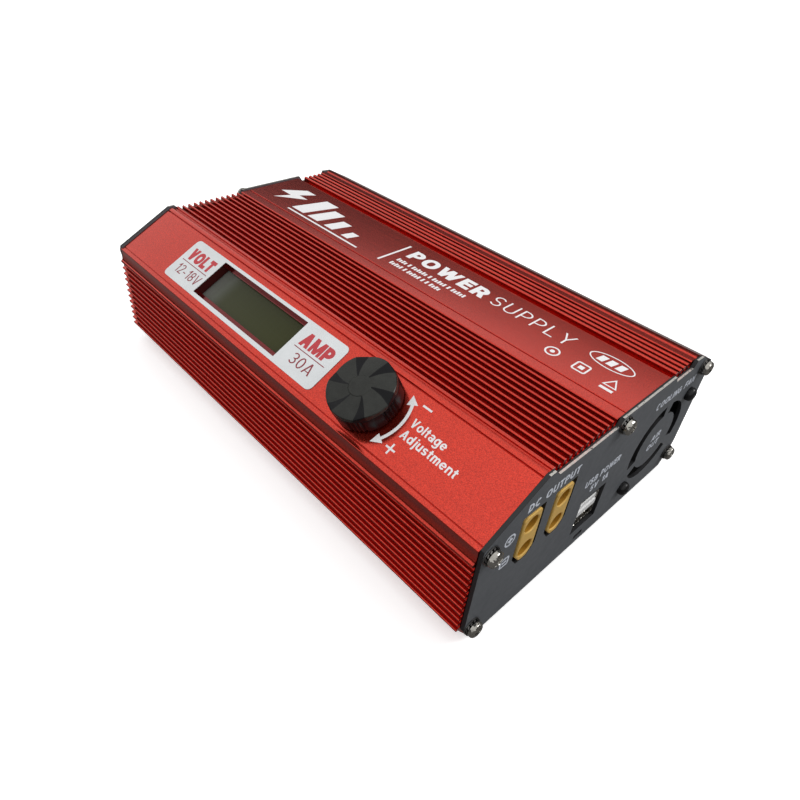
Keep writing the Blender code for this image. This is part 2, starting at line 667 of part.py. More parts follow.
def knob_ring(radius, height, t=1, dent=0.0, faceted=False):
    """ring of the knob; dent pulls in two points per blade"""
    row = []
    for k in range(KNOB_BLADES * BLADE_POINTS):
        a = knob_angle(k, t)
        r = radius - (dent if k % BLADE_POINTS in (0, 7) else 0.0)
        h = height - (knob_drop(k, t) if faceted else 0.0)
        row.append(knob_frame(r * math.cos(a), r * math.sin(a), h))
    return row


def build_knob():
    # from the shaft bore, round the hollow underside and rim, to the face
    rows = [[knob_frame(0, 0, 7.1)]]
    rows += [knob_ring(r, h) for r, h in ((3.15, 7.1), (3.15, 3.3), (5.2, 3.3), (5.2, 6.0),
                                          (11.0, 6.0), (11.0, 0.7))]
    rows += [knob_ring(KNOB_R, 0.7, dent=0.45), knob_ring(KNOB_R - 0.15, 6.4, dent=0.4)]
    rows += [knob_ring(r, KNOB_H, t, faceted=True)
             for r, t in ((KNOB_TOP_R, 1.0), (8.3, 0.5), (4.25, 0.0))]
    rows += [knob_ring(4.1, KNOB_H + 0.05, 0), knob_ring(2.0, KNOB_H + 0.25, 0)]
    rows.append([knob_frame(0, 0, KNOB_H + 0.3)])
    add('voltage_knob', skin(rows), BLACK, origin=knob_origin)


build_potentiometer()
build_knob()

# ---------------------------------------------------------------- mains side
# name, y and z from the inlet centre
INLET_PINS = (('line', -7.0, -1.8), ('earth', 0.0, 2.2), ('neutral', 7.0, -1.8))
PIN_W, PIN_H, PIN_GAP = 2.0, 4.0, 0.15
ROCKER_TILT = math.radians(8.0)
PIVOT_X = -114.8
# button section: x, z from the pivot, before tilting
ROCKER = ((-4.6, -7.9), (-3.3, 0.0), (-4.6, 7.9), (-0.6, 7.9),
          (3.0, 4.0), (3.0, -4.0), (-0.6, -7.9))


def inlet_cavity(y, z, width, height, chamfer):
    """rectangle with its two upper corners cut off"""
    y0, y1, z0, z1 = y - width / 2, y + width / 2, z - height / 2, z + height / 2
    return [(y0, z0), (y1, z0), (y1, z1 - chamfer), (y1 - chamfer, z1),
            (y0 + chamfer, z1), (y0, z1 - chamfer)]


def flanged_body(name, y, z, flange, flange_t, flange_r, steps, body, body_x):
    """flange on the input plate with a body reaching in to body_x; sizes along y, z"""
    outline = rounded_at(y, z, *flange, flange_r, steps)
    ob = add(name, prism_x(outline, -PLATE_OUTER - flange_t, -PLATE_OUTER - 0.1), BLACK)
    join(ob, prism_x(rect_at(y, z, *body), -PLATE_OUTER - 0.6, body_x))
    return ob


def build_inlet():
    inlet = flanged_body('ac_inlet', INLET_Y, INLET_Z, flange=(30.6, 22.8), flange_t=2.4,
                         flange_r=1.5, steps=3, body=(27.0, 19.6), body_x=-96.0)
    cavity = inlet_cavity(INLET_Y, INLET_Z, 24.2, 16.4, 4.2)
    cut(inlet, prism_x(cavity, -PLATE_OUTER - 4.0, -101.0))
    for name, dy, dz in INLET_PINS:
        y, z = INLET_Y + dy, INLET_Z + dz
        slot = rect_at(y, z, PIN_W + 2 * PIN_GAP, PIN_H + 2 * PIN_GAP)
        cut(inlet, prism_x(slot, -103.0, -94.0))
        add('inlet_pin_' + name, prism_x(rect_at(y, z, PIN_W, PIN_H), -114.6, -89.0), BRASS)


def build_rocker():
    frame = flanged_body('rocker_frame', ROCKER_Y, ROCKER_Z, flange=(15.2, 21.4), flange_t=1.9,
                         flange_r=1.0, steps=2, body=(12.8, 19.2), body_x=-101.0)
    cavity = rect_at(ROCKER_Y, ROCKER_Z, 10.7, 17.7)
    cut(frame, prism_x(cavity, -PLATE_OUTER - 4.0, -104.0))
    c, s = math.cos(ROCKER_TILT), math.sin(ROCKER_TILT)
    tilted = [(PIVOT_X + (x * c - z * s), ROCKER_Z + (x * s + z * c)) for x, z in ROCKER]
    add('rocker_button', prism_y(tilted, ROCKER_Y - 5.0, ROCKER_Y + 5.0), BLACK,
        origin=world(PIVOT_X, ROCKER_Y, ROCKER_Z))


build_inlet()
build_rocker()

# ---------------------------------------------------------------- power board
PARTS_Z = BOARD_Z + BOARD_T + 0.3   # parts start just above the board
# can profiles: radius, z
BULK_CAN = ((0, PARTS_Z), (12.4, PARTS_Z), (12.4, PARTS_Z + 2.0), (11.9, PARTS_Z + 2.6),
            (12.4, PARTS_Z + 3.2), (12.4, 51.0), (11.4, 52.0), (0, 52.0))
OUTPUT_CAN = ((0, PARTS_Z), (6.2, PARTS_Z), (6.2, 34.2), (5.5, 35.0), (0, 35.0))
# name, profile, sides, places (x, y)
CAPACITORS = (('bulk', BULK_CAN, 24, ((-46.0, 48.0), (-18.0, 48.0))),
              ('output', OUTPUT_CAN, 16, ((66.0, 78.0), (66.0, 94.0))))


def heatsink(y0, y1, top, fins, fin_t=1.6, web_t=3.0):
    """heat sink section: a web on the board with upward fins"""
    points = [(y0, PARTS_Z), (y1, PARTS_Z)]
    pitch = (y1 - y0 - fin_t) / (fins - 1)
    for i in reversed(range(fins)):
        y = y0 + i * pitch
        points += [(y + fin_t, top), (y, top)]
        if i:
            points += [(y, PARTS_Z + web_t), (y - pitch + fin_t, PARTS_Z + web_t)]
    return points


def build_transformer():
    window_z = (PARTS_Z + 7.0, PARTS_Z + 29.0)
    windows = [rect(9.0, 18.0, *window_z), rect(30.0, 39.0, *window_z)]
    core = rect(2.0, 46.0, PARTS_Z, PARTS_Z + 36.0)
    add('transformer_core', prism_y(core, 66.0, 90.0, windows), FERRITE)
    # the winding passes through both windows, round the middle leg
    outside = rounded(9.4, 38.6, 57.5, 98.5, 3.0, 3)
    inside = rounded(17.6, 30.4, 65.6, 90.4, 0.6, 1)
    add('transformer_winding', prism_z(outside, PARTS_Z + 7.4, PARTS_Z + 28.6, [inside]), CREAM)


def build_power_board():
    board = rect(-92.0, 92.0, 14.0, 124.0)
    add('main_board', prism_z(board, BOARD_Z, BOARD_Z + BOARD_T), GREEN)
    add('heatsink_primary', prism_x(heatsink(16.0, 27.0, 34.0, 4), -78.0, 20.0), ALUMINIUM)
    add('heatsink_secondary', prism_x(heatsink(108.0, 122.0, 46.0, 5), -20.0, 80.0), ALUMINIUM)
    for kind, profile, sides, places in CAPACITORS:
        for i, (x, y) in enumerate(places, 1):
            add('%s_capacitor_%d' % (kind, i), turned(profile, sides, upright(x, y)), SLEEVE)
    add('pfc_choke', torus(-68.0, 96.0, PARTS_Z + 8.0, 13.0, 7.6), COPPER, smooth=True)
    add('output_inductor', torus(60.0, 48.0, PARTS_Z + 6.6, 11.0, 6.2), COPPER, smooth=True)
    build_transformer()
    add('bridge_rectifier', prism_x(rect(36.0, 41.0, PARTS_Z, 33.0), -84.0, -66.0), BLACK)
    line_filter = rounded(-86.0, -64.0, 56.0, 74.0, 2.0, 2)
    add('line_filter', prism_z(line_filter, PARTS_Z, 36.0), CREAM)


build_power_board()
bpy.context.view_layer.update()
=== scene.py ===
"""Looks of the finned red bench power supply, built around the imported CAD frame.

The case is an extrusion along X. Its output plate is at +X and its input plate at -X. The
front is at -Y, and the control slope, with display and knob, leans back above it. Z is up.
Lengths are millimetres unless a name ends in _m. Everything is placed from the frame's own
node boxes and joints.
"""
import json
import math
from functools import cached_property
import bmesh
import bpy
from mathutils import Matrix, Vector
from mathutils.geometry import tessellate_polygon

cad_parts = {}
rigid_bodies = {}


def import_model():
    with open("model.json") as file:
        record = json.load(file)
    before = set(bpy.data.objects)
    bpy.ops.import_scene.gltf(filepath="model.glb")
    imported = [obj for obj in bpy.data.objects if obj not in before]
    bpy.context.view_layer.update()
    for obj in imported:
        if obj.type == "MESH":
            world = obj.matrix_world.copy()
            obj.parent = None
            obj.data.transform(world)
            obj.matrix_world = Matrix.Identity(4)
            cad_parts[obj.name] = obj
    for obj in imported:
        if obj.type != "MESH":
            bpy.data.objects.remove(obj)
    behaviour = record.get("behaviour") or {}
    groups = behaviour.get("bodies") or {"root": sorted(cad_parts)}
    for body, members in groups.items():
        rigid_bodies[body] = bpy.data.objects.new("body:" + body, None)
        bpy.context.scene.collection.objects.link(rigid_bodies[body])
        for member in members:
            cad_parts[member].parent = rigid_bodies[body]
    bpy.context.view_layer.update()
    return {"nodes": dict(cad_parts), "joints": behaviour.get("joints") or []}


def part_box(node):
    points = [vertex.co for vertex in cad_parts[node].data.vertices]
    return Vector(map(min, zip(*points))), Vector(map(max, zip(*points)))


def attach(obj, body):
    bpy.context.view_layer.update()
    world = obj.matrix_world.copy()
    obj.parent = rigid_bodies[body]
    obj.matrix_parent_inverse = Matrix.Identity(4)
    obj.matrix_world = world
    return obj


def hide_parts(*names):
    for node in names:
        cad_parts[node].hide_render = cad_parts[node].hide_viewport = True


for old_object in list(bpy.data.objects):
    bpy.data.objects.remove(old_object, do_unlink=True)

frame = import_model()
NODES = frame["nodes"]
SCENE = bpy.context.scene
MM = 0.001                               # metres in a millimetre


def box(name):
    """low and high corner of a CAD node"""
    lo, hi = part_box(name)
    return lo * 1000.0, hi * 1000.0


# ------------------------------------------------------------------ reference frames
# A section point (y, z) is measured from the front fin tips and from the underside.
SHELL_LO, SHELL_HI = box("case_extrusion")
FRONT_Y = SHELL_LO.y
UNDER_Z = SHELL_LO.z
HALF_LEN = SHELL_HI.x
LEFT = -HALF_LEN                         # -X end of the extrusion; prints are placed from it
PLATE_IN, PLATE_OUT = (corner.x for corner in box("output_end_plate"))
KNOB_TURN = next(joint for joint in frame["joints"] if joint["name"] == "knob_turn")
KNOB_POS = Vector(KNOB_TURN["pos_m"]) * 1000.0
SLOPE_N = Vector(KNOB_TURN["axis"]).normalized()
SLOPE_UP = Vector((0.0, SLOPE_N.z, -SLOPE_N.y))
KNOB_S = 14.5                            # the knob axis stands this far up the slope


def slope(s, depth):
    """section (y, z) of a point s up the control slope and depth below its surface"""
    p = KNOB_POS + SLOPE_UP * (s - KNOB_S) - SLOPE_N * depth
    return (p.y - FRONT_Y, p.z - UNDER_Z)


def placed(x_axis, y_axis, z_axis, origin):
    return Matrix((*zip(x_axis, y_axis, z_axis, origin), (0, 0, 0, 1)))


def on_slope(x, s=0.0):
    """local x, y, z run along the case, up the slope and out of it"""
    p = KNOB_POS + SLOPE_UP * (s - KNOB_S)
    return placed((1, 0, 0), SLOPE_UP, SLOPE_N, (x, p.y, p.z))


def on_end(x, y=FRONT_Y, z=UNDER_Z, sign=1.0):
    """local x, y, z run along +Y, up and along +X; sign -1 turns x and z to -Y and -X"""
    return placed((0, sign, 0), (0, 0, 1), (sign, 0, 0), (x, y, z))


# ------------------------------------------------------------------ mesh tools
def solid_mesh(name, shape, place):
    """mesh of a (vertices, faces) shape given in millimetres in the local frame `place`"""
    verts, faces = shape
    mesh = bpy.data.meshes.new(name)
    mesh.from_pydata([tuple((place @ Vector(v)) * MM) for v in verts], [], faces)
    bm = bmesh.new()
    bm.from_mesh(mesh)
    bmesh.ops.remove_doubles(bm, verts=bm.verts, dist=1e-7)
    bmesh.ops.recalc_face_normals(bm, faces=bm.faces)
    bm.to_mesh(mesh)
    bm.free()
    return mesh


def finish_piece(ob, body, smooth=None, replaces=None, slot=None):
    """smooth is the sharp-edge angle in degrees, replaces a CAD node; slot is not used"""
    if smooth is not None:
        for polygon in ob.data.polygons:
            polygon.use_smooth = True
        ob.data.set_sharp_from_angle(angle=math.radians(smooth))
    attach(ob, body)
    if replaces:
        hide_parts(replaces)


def piece(name, shape, mat, place, body="case", **finish):
    mesh = solid_mesh(name, shape, place)
    mesh.materials.append(mat.material)
    ob = bpy.data.objects.new(name, mesh)
    SCENE.collection.objects.link(ob)
    finish_piece(ob, body, **finish)
    return ob


def cut(ob, shape, place):
    """take a shape out of an object"""
    tool = bpy.data.objects.new("cutter", solid_mesh("cutter", shape, place))
    SCENE.collection.objects.link(tool)
    bpy.context.view_layer.update()
    mod = ob.modifiers.new("b", "BOOLEAN")
    mod.operation = "DIFFERENCE"
    mod.solver = "EXACT"
    mod.object = tool
    bpy.context.view_layer.update()
    evaluated = ob.evaluated_get(bpy.context.evaluated_depsgraph_get())
    new = bpy.data.meshes.new_from_object(evaluated)
    materials = list(ob.data.materials)
    ob.modifiers.remove(mod)
    old = ob.data
    ob.data = new
    new.materials.clear()
    for material in materials:
        new.materials.append(material)
    for polygon in new.polygons:
        polygon.material_index = 0
    bpy.data.meshes.remove(old)
    bpy.data.objects.remove(tool, do_unlink=True)


def join(shapes):
    verts, faces = [], []
    for part_verts, part_faces in shapes:
        first = len(verts)
        verts += list(part_verts)
        faces += [tuple(i + first for i in face) for face in part_faces]
    return verts, faces


# Outlines are lists of (u, v) points.
def arc(cu, cv, ru, rv, start, end, n=10):
    """n steps of an ellipse between two angles in degrees, both ends included"""
    angles = [math.radians(start + (end - start) * i / n) for i in range(n + 1)]
    return [(cu + ru * math.cos(a), cv + rv * math.sin(a)) for a in angles]


def oval(cu, cv, ru, rv, n):
    angles = [2 * math.pi * i / n for i in range(n)]
    return [(cu + ru * math.cos(a), cv + rv * math.sin(a)) for a in angles]


def circle(cu, cv, r, n):
    return oval(cu, cv, r, r, n)


def rect(u0, u1, v0, v1):
    return [(u0, v0), (u1, v0), (u1, v1), (u0, v1)]


def round_rect(u0, u1, v0, v1, r, n=6):
    corners = ((u1 - r, v0 + r, -90), (u1 - r, v1 - r, 0), (u0 + r, v1 - r, 90),
               (u0 + r, v0 + r, 180))
    return [p for cu, cv, start in corners for p in arc(cu, cv, r, r, start, start + 90, n)]


def slanted(u0, u1, v0, v1, lean):
    return [(u0, v0), (u1, v0), (u1 + lean, v1), (u0 + lean, v1)]


def ccw(outline):
    area = 0.5 * sum(outline[i - 1][0] * outline[i][1] - outline[i][0] * outline[i - 1][1]
                     for i in range(len(outline)))
    return list(outline) if area > 0 else list(reversed(outline))


def inset(outline, d):
    """mitred offset of a counter-clockwise outline towards its inside"""
    out = []
    n = len(outline)
    for i in range(n):
        before, here, after = (Vector(outline[j]) for j in (i - 1, i, (i + 1) % n))
        into, away = (here - before).normalized(), (after - here).normalized()
        normal = Vector((-into.y, into.x))
        mitre = normal + Vector((-away.y, away.x))
        if mitre.length < 1e-6:
            mitre = normal
        mitre = mitre.normalized()
        out.append(tuple(here + mitre * (d / max(0.35, mitre.dot(normal)))))
    return out


def fillet(outline, radius, step=16.0):
    """outline with its corners rounded, one point for each `step` degrees of turn"""
    most = 0.44                          # largest part of an edge that a corner may use
    least = math.radians(21.0)           # gentler turns stay as they are
    out = []
    n = len(outline)
    for i in range(n):
        before, here, after = (Vector(outline[j]) for j in (i - 1, i, (i + 1) % n))
        back, ahead = before - here, after - here
        back_len, ahead_len = back.length, ahead.length
        back.normalize()
        ahead.normalize()
        turn = math.pi - math.acos(max(-1.0, min(1.0, back.dot(ahead))))
        if turn < least:
            out.append(tuple(here))
            continue
        r = radius(here) if callable(radius) else radius
        reach = min(r * math.tan(turn / 2), most * back_len, most * ahead_len)
        count = max(2, math.ceil(math.degrees(turn) / step))
        start, end = here + back * reach, here + ahead * reach
        for j in range(count + 1):
            u = j / count
            out.append(tuple(start * (1 - u) ** 2 + here * (2 * u * (1 - u)) + end * (u * u)))
    return out


def slab(outline, holes, z0, z1, chamfer0=0.0, chamfer1=0.0):
    """closed plate of an outline with holes from z0 to z1, its two rims chamfered"""
    loops = [ccw(outline)] + [ccw(hole) for hole in holes]
    layers = [(z0, chamfer0)]
    if chamfer0:
        layers.append((z0 + chamfer0, 0.0))
    if chamfer1:
        layers.append((z1 - chamfer1, 0.0))
    layers.append((z1, chamfer1))

    def loops_at(c):
        if not c:
            return loops
        return [inset(loop, -c if i else c) for i, loop in enumerate(loops)]

    verts = [(u, v, z) for z, c in layers for loop in loops_at(c) for u, v in loop]
    faces = []
    count = sum(len(loop) for loop in loops)
    for k in range(len(layers) - 1):
        first = k * count
        for loop in loops:
            for i in range(len(loop)):
                p, q = first + i, first + (i + 1) % len(loop)
                faces.append((p, q, q + count, p + count))
            first += len(loop)
    for k, c in ((0, chamfer0), (len(layers) - 1, chamfer1)):
        cap = tessellate_polygon([[Vector((u, v, 0)) for u, v in loop] for loop in loops_at(c)])
        faces += [tuple(i + k * count for i in triangle) for triangle in cap]
    return verts, faces


def sheet(outline, holes=(), low=0.0, high=0.04):
    """thin printed patch"""
    return slab(outline, holes, low, high)


def lathe(stack, n):
    """closed body of revolution about local z from (radius, height) rings; a radius may be
    a function of the angle, and radius 0 closes to a point"""
    verts, rings, faces = [], [], []
    for radius, height in stack:
        first = len(verts)
        if radius == 0:
            verts.append((0.0, 0.0, height))
        else:
            for k in range(n):
                a = 2 * math.pi * k / n
                r = radius(a) if callable(radius) else radius
                verts.append((r * math.cos(a), r * math.sin(a), height))
        rings.append(list(range(first, len(verts))))
    for p, q in zip(rings, rings[1:]):
        for k in range(n):
            k2 = (k + 1) % n
            if len(p) == 1:
                faces.append((p[0], q[k2], q[k]))
            elif len(q) == 1:
                faces.append((p[k], p[k2], q[0]))
            else:
                faces.append((p[k], p[k2], q[k2], q[k]))
    return verts, faces


# ------------------------------------------------------------------ material tools
class Nodes:
    """helper around one node tree"""

    def __init__(self, tree):
        self.tree = tree

    def new(self, kind, **props):
        node = self.tree.nodes.new(kind)
        for key, value in props.items():
            setattr(node, key, value)
        return node

    def link(self, output, socket):
        self.tree.links.new(output, socket)

    def feed(self, socket, value):
        """link a socket, or set a number or an rgb colour"""
        if isinstance(value, bpy.types.NodeSocket):
            self.link(value, socket)
        else:
            socket.default_value = (*value, 1.0) if isinstance(value, tuple) else value

    def split(self, vector):
        node = self.new("ShaderNodeSeparateXYZ")
        self.link(vector, node.inputs[0])
        return node.outputs

    def math(self, operation, a, b=None):
        node = self.new("ShaderNodeMath", operation=operation)
        self.feed(node.inputs[0], a)
        if b is not None:
            self.feed(node.inputs[1], b)
        return node.outputs[0]

    def remap(self, value, span=(0.3, 0.7), to=(0.0, 1.0), kind="LINEAR"):
        node = self.new("ShaderNodeMapRange", interpolation_type=kind)
        self.link(value, node.inputs["Value"])
        for i, limit in enumerate((*span, *to), 1):
            node.inputs[i].default_value = limit
        return node.outputs[0]

    def mix(self, factor, a, b, blend="MIX"):
        node = self.new("ShaderNodeMix", data_type="RGBA", blend_type=blend)
        self.feed(node.inputs["Factor"], factor)
        self.feed(node.inputs[6], a)
        self.feed(node.inputs[7], b)
        return node.outputs[2]


class Mat(Nodes):
    """one Principled material; further keywords are shader inputs, _ standing for a space"""

    def __init__(self, name, rgb, rough=0.5, metal=0.0, specular=0.5, **more):
        self.material = bpy.data.materials.new(name)
        self.material.use_nodes = True
        super().__init__(self.material.node_tree)
        self.inputs = self.tree.nodes["Principled BSDF"].inputs
        self.inputs["Base Color"].default_value = (*rgb, 1.0)
        self.inputs["Roughness"].default_value = rough
        self.inputs["Metallic"].default_value = metal
        self.inputs["Specular IOR Level"].default_value = specular
        for key, value in more.items():
            self.inputs[key.replace("_", " ")].default_value = value
        self.material.diffuse_color = (*rgb, 1.0)
        self.rgb = rgb
        self.rough = rough

    @cached_property
    def coords(self):
        return self.new("ShaderNodeTexCoord").outputs["Object"]

    def scaled(self, *scale):
        node = self.new("ShaderNodeMapping")
        node.inputs["Scale"].default_value = scale
        self.link(self.coords, node.inputs["Vector"])
        return node.outputs["Vector"]

    def noise(self, scale, detail=2.0, rough=0.5, vector=None):
        node = self.new("ShaderNodeTexNoise")
        node.inputs["Scale"].default_value = scale
        node.inputs["Detail"].default_value = detail
        node.inputs["Roughness"].default_value = rough
        self.link(self.coords if vector is None else vector, node.inputs["Vector"])
        return node.outputs["Fac"]

    def bump(self, height, strength, mm, under=None):
        node = self.new("ShaderNodeBump")
        node.inputs["Strength"].default_value = strength
        node.inputs["Distance"].default_value = mm * MM
        self.link(height, node.inputs["Height"])
        if under is not None:
            self.link(under, node.inputs["Normal"])
        self.link(node.outputs["Normal"], self.inputs["Normal"])
        return node.outputs["Normal"]

    def color(self, socket):
        self.link(socket, self.inputs["Base Color"])

    def roughness(self, socket):
        self.link(socket, self.inputs["Roughness"])

    def vary(self, by, scale, rough, grain=None, mm=0.01, strength=0.25):
        """colour varied by a part, roughness by +-rough, and an optional fine grain as bump"""
        cloud = self.noise(scale, detail=4.0, rough=0.6)
        dark = tuple(c * (1 - by) for c in self.rgb)
        light = tuple(min(1.0, c * (1 + by)) for c in self.rgb)
        self.color(self.mix(self.remap(cloud), dark, light))
        limits = (max(0.02, self.rough - rough), min(1.0, self.rough + rough))
        self.roughness(self.remap(self.noise(scale * 2.3, detail=3.0, rough=0.6), to=limits))
        if grain:
            self.bump(self.noise(grain), strength, mm)
        return self


# ------------------------------------------------------------------ materials
def red_anodised(name, rgb):
    """bead-blasted and anodised extrusion: fine sparkle, faint die lines along X"""
    m = Mat(name, rgb, rough=0.17, metal=0.94, Coat_Weight=0.6, Coat_Roughness=0.14)
    streak = m.noise(scale=1.0, detail=3.0, rough=0.55, vector=m.scaled(6.0, 1500.0, 1500.0))
    cloud = m.noise(scale=30.0, detail=3.0, rough=0.6)
    grain = m.noise(scale=2600.0, detail=2.0, rough=0.65)
    fine = m.noise(scale=5200.0, detail=1.0)
    dark = tuple(c * 0.66 for c in rgb)
    light = tuple(min(1.0, c * gain) for c, gain in zip(rgb, (1.22, 1.75, 2.0)))
    sparkle = m.mix(m.remap(grain, span=(0.34, 0.66)), dark, light)
    lines = m.mix(m.remap(streak, span=(0.35, 0.65)), (0.96,) * 3, (1.03,) * 3)
    patches = m.mix(m.remap(cloud), (0.95,) * 3, (1.04,) * 3)
    m.color(m.mix(1.0, m.mix(1.0, sparkle, lines, "MULTIPLY"), patches, "MULTIPLY"))
    wear = m.math("ADD", m.math("MULTIPLY", streak, 0.35), m.math("MULTIPLY", grain, 0.65))
    m.roughness(m.remap(wear, span=(0.35, 0.65), to=(0.13, 0.20)))
    die_lines = m.bump(streak, strength=0.04, mm=0.02)
    grains = m.math("ADD", grain, m.math("MULTIPLY", fine, 0.5))
    m.bump(grains, strength=0.22, mm=0.02, under=die_lines)
    return m


def slate_coat():
    """matte grey coat on the end plates' faces; their edges painted near black as shade, bare
    metal on the outer part of the top edges, a painted shadow gap on the inner part
    """
    m = Mat("slate_coat", rgb=(0.060, 0.064, 0.071), rough=0.55, specular=0.45)
    normal = m.split(m.new("ShaderNodeNewGeometry").outputs["Normal"])
    pos = m.split(m.coords)
    facing_up = m.remap(normal["Z"], span=(0.93, 0.985))
    scratch = m.noise(scale=900.0, detail=3.0, rough=0.7)
    high = m.remap(pos["Z"], span=((47.0 + UNDER_Z) * MM, (48.0 + UNDER_Z) * MM))
    bare = m.math("MULTIPLY", m.math("MULTIPLY", facing_up, high),
                  m.remap(scratch, span=(0.34, 0.44)))
    # the inner part of the top edges stays dark: a painted shadow gap between plate and case
    outer = m.remap(m.math("ABSOLUTE", pos["X"]),
                    span=((PLATE_IN + 0.62) * MM, (PLATE_IN + 0.72) * MM))
    bare = m.math("MULTIPLY", bare, outer)
    # painted shade: every edge that does not show bare metal is darkened to near black
    edge = m.remap(m.math("ABSOLUTE", normal["X"]), span=(0.35, 0.75), to=(1.0, 0.0))
    cloud = m.noise(scale=55.0, detail=3.0, rough=0.55)
    coat = m.mix(m.remap(cloud), (0.100, 0.107, 0.118), (0.116, 0.123, 0.134))
    coat = m.mix(edge, coat, (0.010, 0.010, 0.011))
    m.color(m.mix(bare, coat, (0.62, 0.60, 0.56)))
    m.link(bare, m.inputs["Metallic"])
    m.roughness(m.remap(m.noise(scale=240.0, detail=3.0, rough=0.6), to=(0.48, 0.60)))
    m.bump(m.noise(scale=1900.0), strength=0.16, mm=0.03)
    return m


def steel(name, rgb, rough):
    m = Mat(name, rgb, rough, metal=1.0)
    return m.vary(by=0.12, scale=900.0, rough=0.08, grain=2400.0, strength=0.12)


def nickel_plate():
    m = Mat("nickel_plate", rgb=(0.38, 0.365, 0.335), rough=0.15, metal=1.0)
    m.vary(by=0.2, scale=900.0, rough=0.05)
    m.bump(m.noise(scale=800.0, detail=1.0), strength=0.9, mm=0.5)
    return m


def enamelled_copper():
    """copper with diagonal bands of windings"""
    m = Mat("enamelled_copper", rgb=(0.55, 0.21, 0.07), rough=0.3, metal=0.9)
    turns = m.new("ShaderNodeTexWave", wave_type="BANDS", bands_direction="DIAGONAL")
    turns.inputs["Scale"].default_value = 420.0
    turns.inputs["Distortion"].default_value = 1.0
    m.link(m.coords, turns.inputs["Vector"])
    m.color(m.mix(turns.outputs["Fac"], (0.30, 0.10, 0.03), (0.62, 0.25, 0.08)))
    m.bump(turns.outputs["Fac"], strength=0.5, mm=0.2)
    return m


def display_glass():
    """dark olive glass, cell grid just readable, cool reflection at the -X end"""
    m = Mat("display_glass", rgb=(0.042, 0.046, 0.016), rough=0.16, specular=0.12)
    x = m.split(m.coords)["X"]
    lo, hi = box("lcd_glass")
    # painted reflection: a cool grey lightens the glass towards its -X end
    reflection = m.remap(x, span=((lo.x + 1.5) * MM, (lo.x + 15.0) * MM), to=(1.0, 0.0),
                         kind="SMOOTHSTEP")
    # painted shading: the glass is lighter towards -X and darker towards +X
    along = m.remap(x, span=(lo.x * MM, hi.x * MM))
    glass = m.mix(along, (0.050, 0.053, 0.028), (0.040, 0.043, 0.012))
    glass = m.mix(m.math("MULTIPLY", reflection, 0.75), glass, (0.15, 0.16, 0.15))
    cells = m.new("ShaderNodeTexBrick", offset=0.0)
    for key, value in (("Color1", (0.0, 0.0, 0.0)), ("Color2", (0.0, 0.0, 0.0)),
                       ("Mortar", (1.0, 1.0, 1.0)), ("Scale", 1000.0), ("Mortar Size", 0.22),
                       ("Brick Width", 3.55), ("Row Height", 5.95)):
        m.feed(cells.inputs[key], value)
    m.link(m.scaled(1, 1, 1), cells.inputs["Vector"])
    grid = m.math("MULTIPLY", cells.outputs["Color"], 0.08)
    m.color(m.mix(grid, glass, (0.06, 0.065, 0.04)))
    m.roughness(m.remap(m.noise(scale=200.0, detail=3.0, rough=0.6), to=(0.12, 0.22)))
    return m


RED = red_anodised("red_anodised_case", rgb=(0.61, 0.027, 0.011))
# a darker copy of the case red, painted shade for the walls of the display window
RED_PAINTED_SHADE = red_anodised("red_anodised_painted_shade", rgb=(0.16, 0.006, 0.006))
RED_COVER = red_anodised("red_anodised_cover", rgb=(0.48, 0.024, 0.010))
SLATE = slate_coat()
STEEL = nickel_plate()
# steel darker than the screw heads: painted shade on the washers under the heads
WASHER_PAINTED_SHADE = steel("spring_steel_painted_shade", rgb=(0.16, 0.155, 0.15), rough=0.32)
BLACK_OXIDE = Mat("black_oxide", rgb=(0.006, 0.006, 0.007), rough=0.30, specular=0.30)
BLACK_OXIDE.vary(by=0.3, scale=800.0, rough=0.1, grain=2500.0)
NUT = steel("nut_steel", rgb=(0.5, 0.5, 0.48), rough=0.3)
# a darker copy of the knob black, painted shade for the knob's skirt and steep facets
KNOB_PAINTED_SHADE = Mat("knob_painted_shade", rgb=(0.004, 0.004, 0.005), rough=0.32, specular=0.16)
KNOB_PAINTED_SHADE.vary(by=0.2, scale=300.0, rough=0.05)
KNOB = Mat("knob_satin", rgb=(0.020, 0.021, 0.018), rough=0.27, specular=0.26)
KNOB.vary(by=0.25, scale=300.0, rough=0.05, grain=3000.0, strength=0.12)
FAN = Mat("fan_black", rgb=(0.002, 0.002, 0.002), rough=0.6, specular=0.10)
FAN.vary(by=0.2, scale=300.0, rough=0.08)
BLACK = Mat("moulded_black", rgb=(0.009, 0.009, 0.010), rough=0.5, specular=0.35)
BLACK.vary(by=0.2, scale=300.0, rough=0.08, grain=1800.0, mm=0.02)
AMBER = Mat("amber_nylon", rgb=(0.74, 0.46, 0.12), rough=0.42, specular=0.45,
            Subsurface_Weight=0.05, Subsurface_Radius=(0.002, 0.001, 0.0005))
AMBER.vary(by=0.06, scale=260.0, rough=0.06, grain=1600.0, mm=0.015)
# a darker copy of the amber, painted shade for the bores of the sockets
AMBER_PAINTED_SHADE = Mat("amber_painted_shade", rgb=(0.42, 0.20, 0.012))
AMBER_PAINTED_SHADE.vary(by=0.1, scale=300.0, rough=0.06)
GOLD = steel("gold_contact", rgb=(0.78, 0.55, 0.22), rough=0.24)
SILVER = Mat("silver_label", rgb=(0.70, 0.72, 0.73), rough=0.40, metal=0.35)
SILVER.vary(by=0.04, scale=90.0, rough=0.05, grain=2200.0, strength=0.15)
WHITE_INK = Mat("white_ink", rgb=(0.80, 0.80, 0.81), rough=0.55)
WHITE_INK.vary(by=0.06, scale=1400.0, rough=0.06, grain=2600.0)
GREY_INK = Mat("grey_ink", rgb=(0.70, 0.74, 0.82), rough=0.55)
GREY_INK.vary(by=0.08, scale=1400.0, rough=0.06, grain=2600.0)
RED_INK = Mat("red_ink", rgb=(0.50, 0.035, 0.045))
RED_INK.vary(by=0.08, scale=1200.0, rough=0.06)
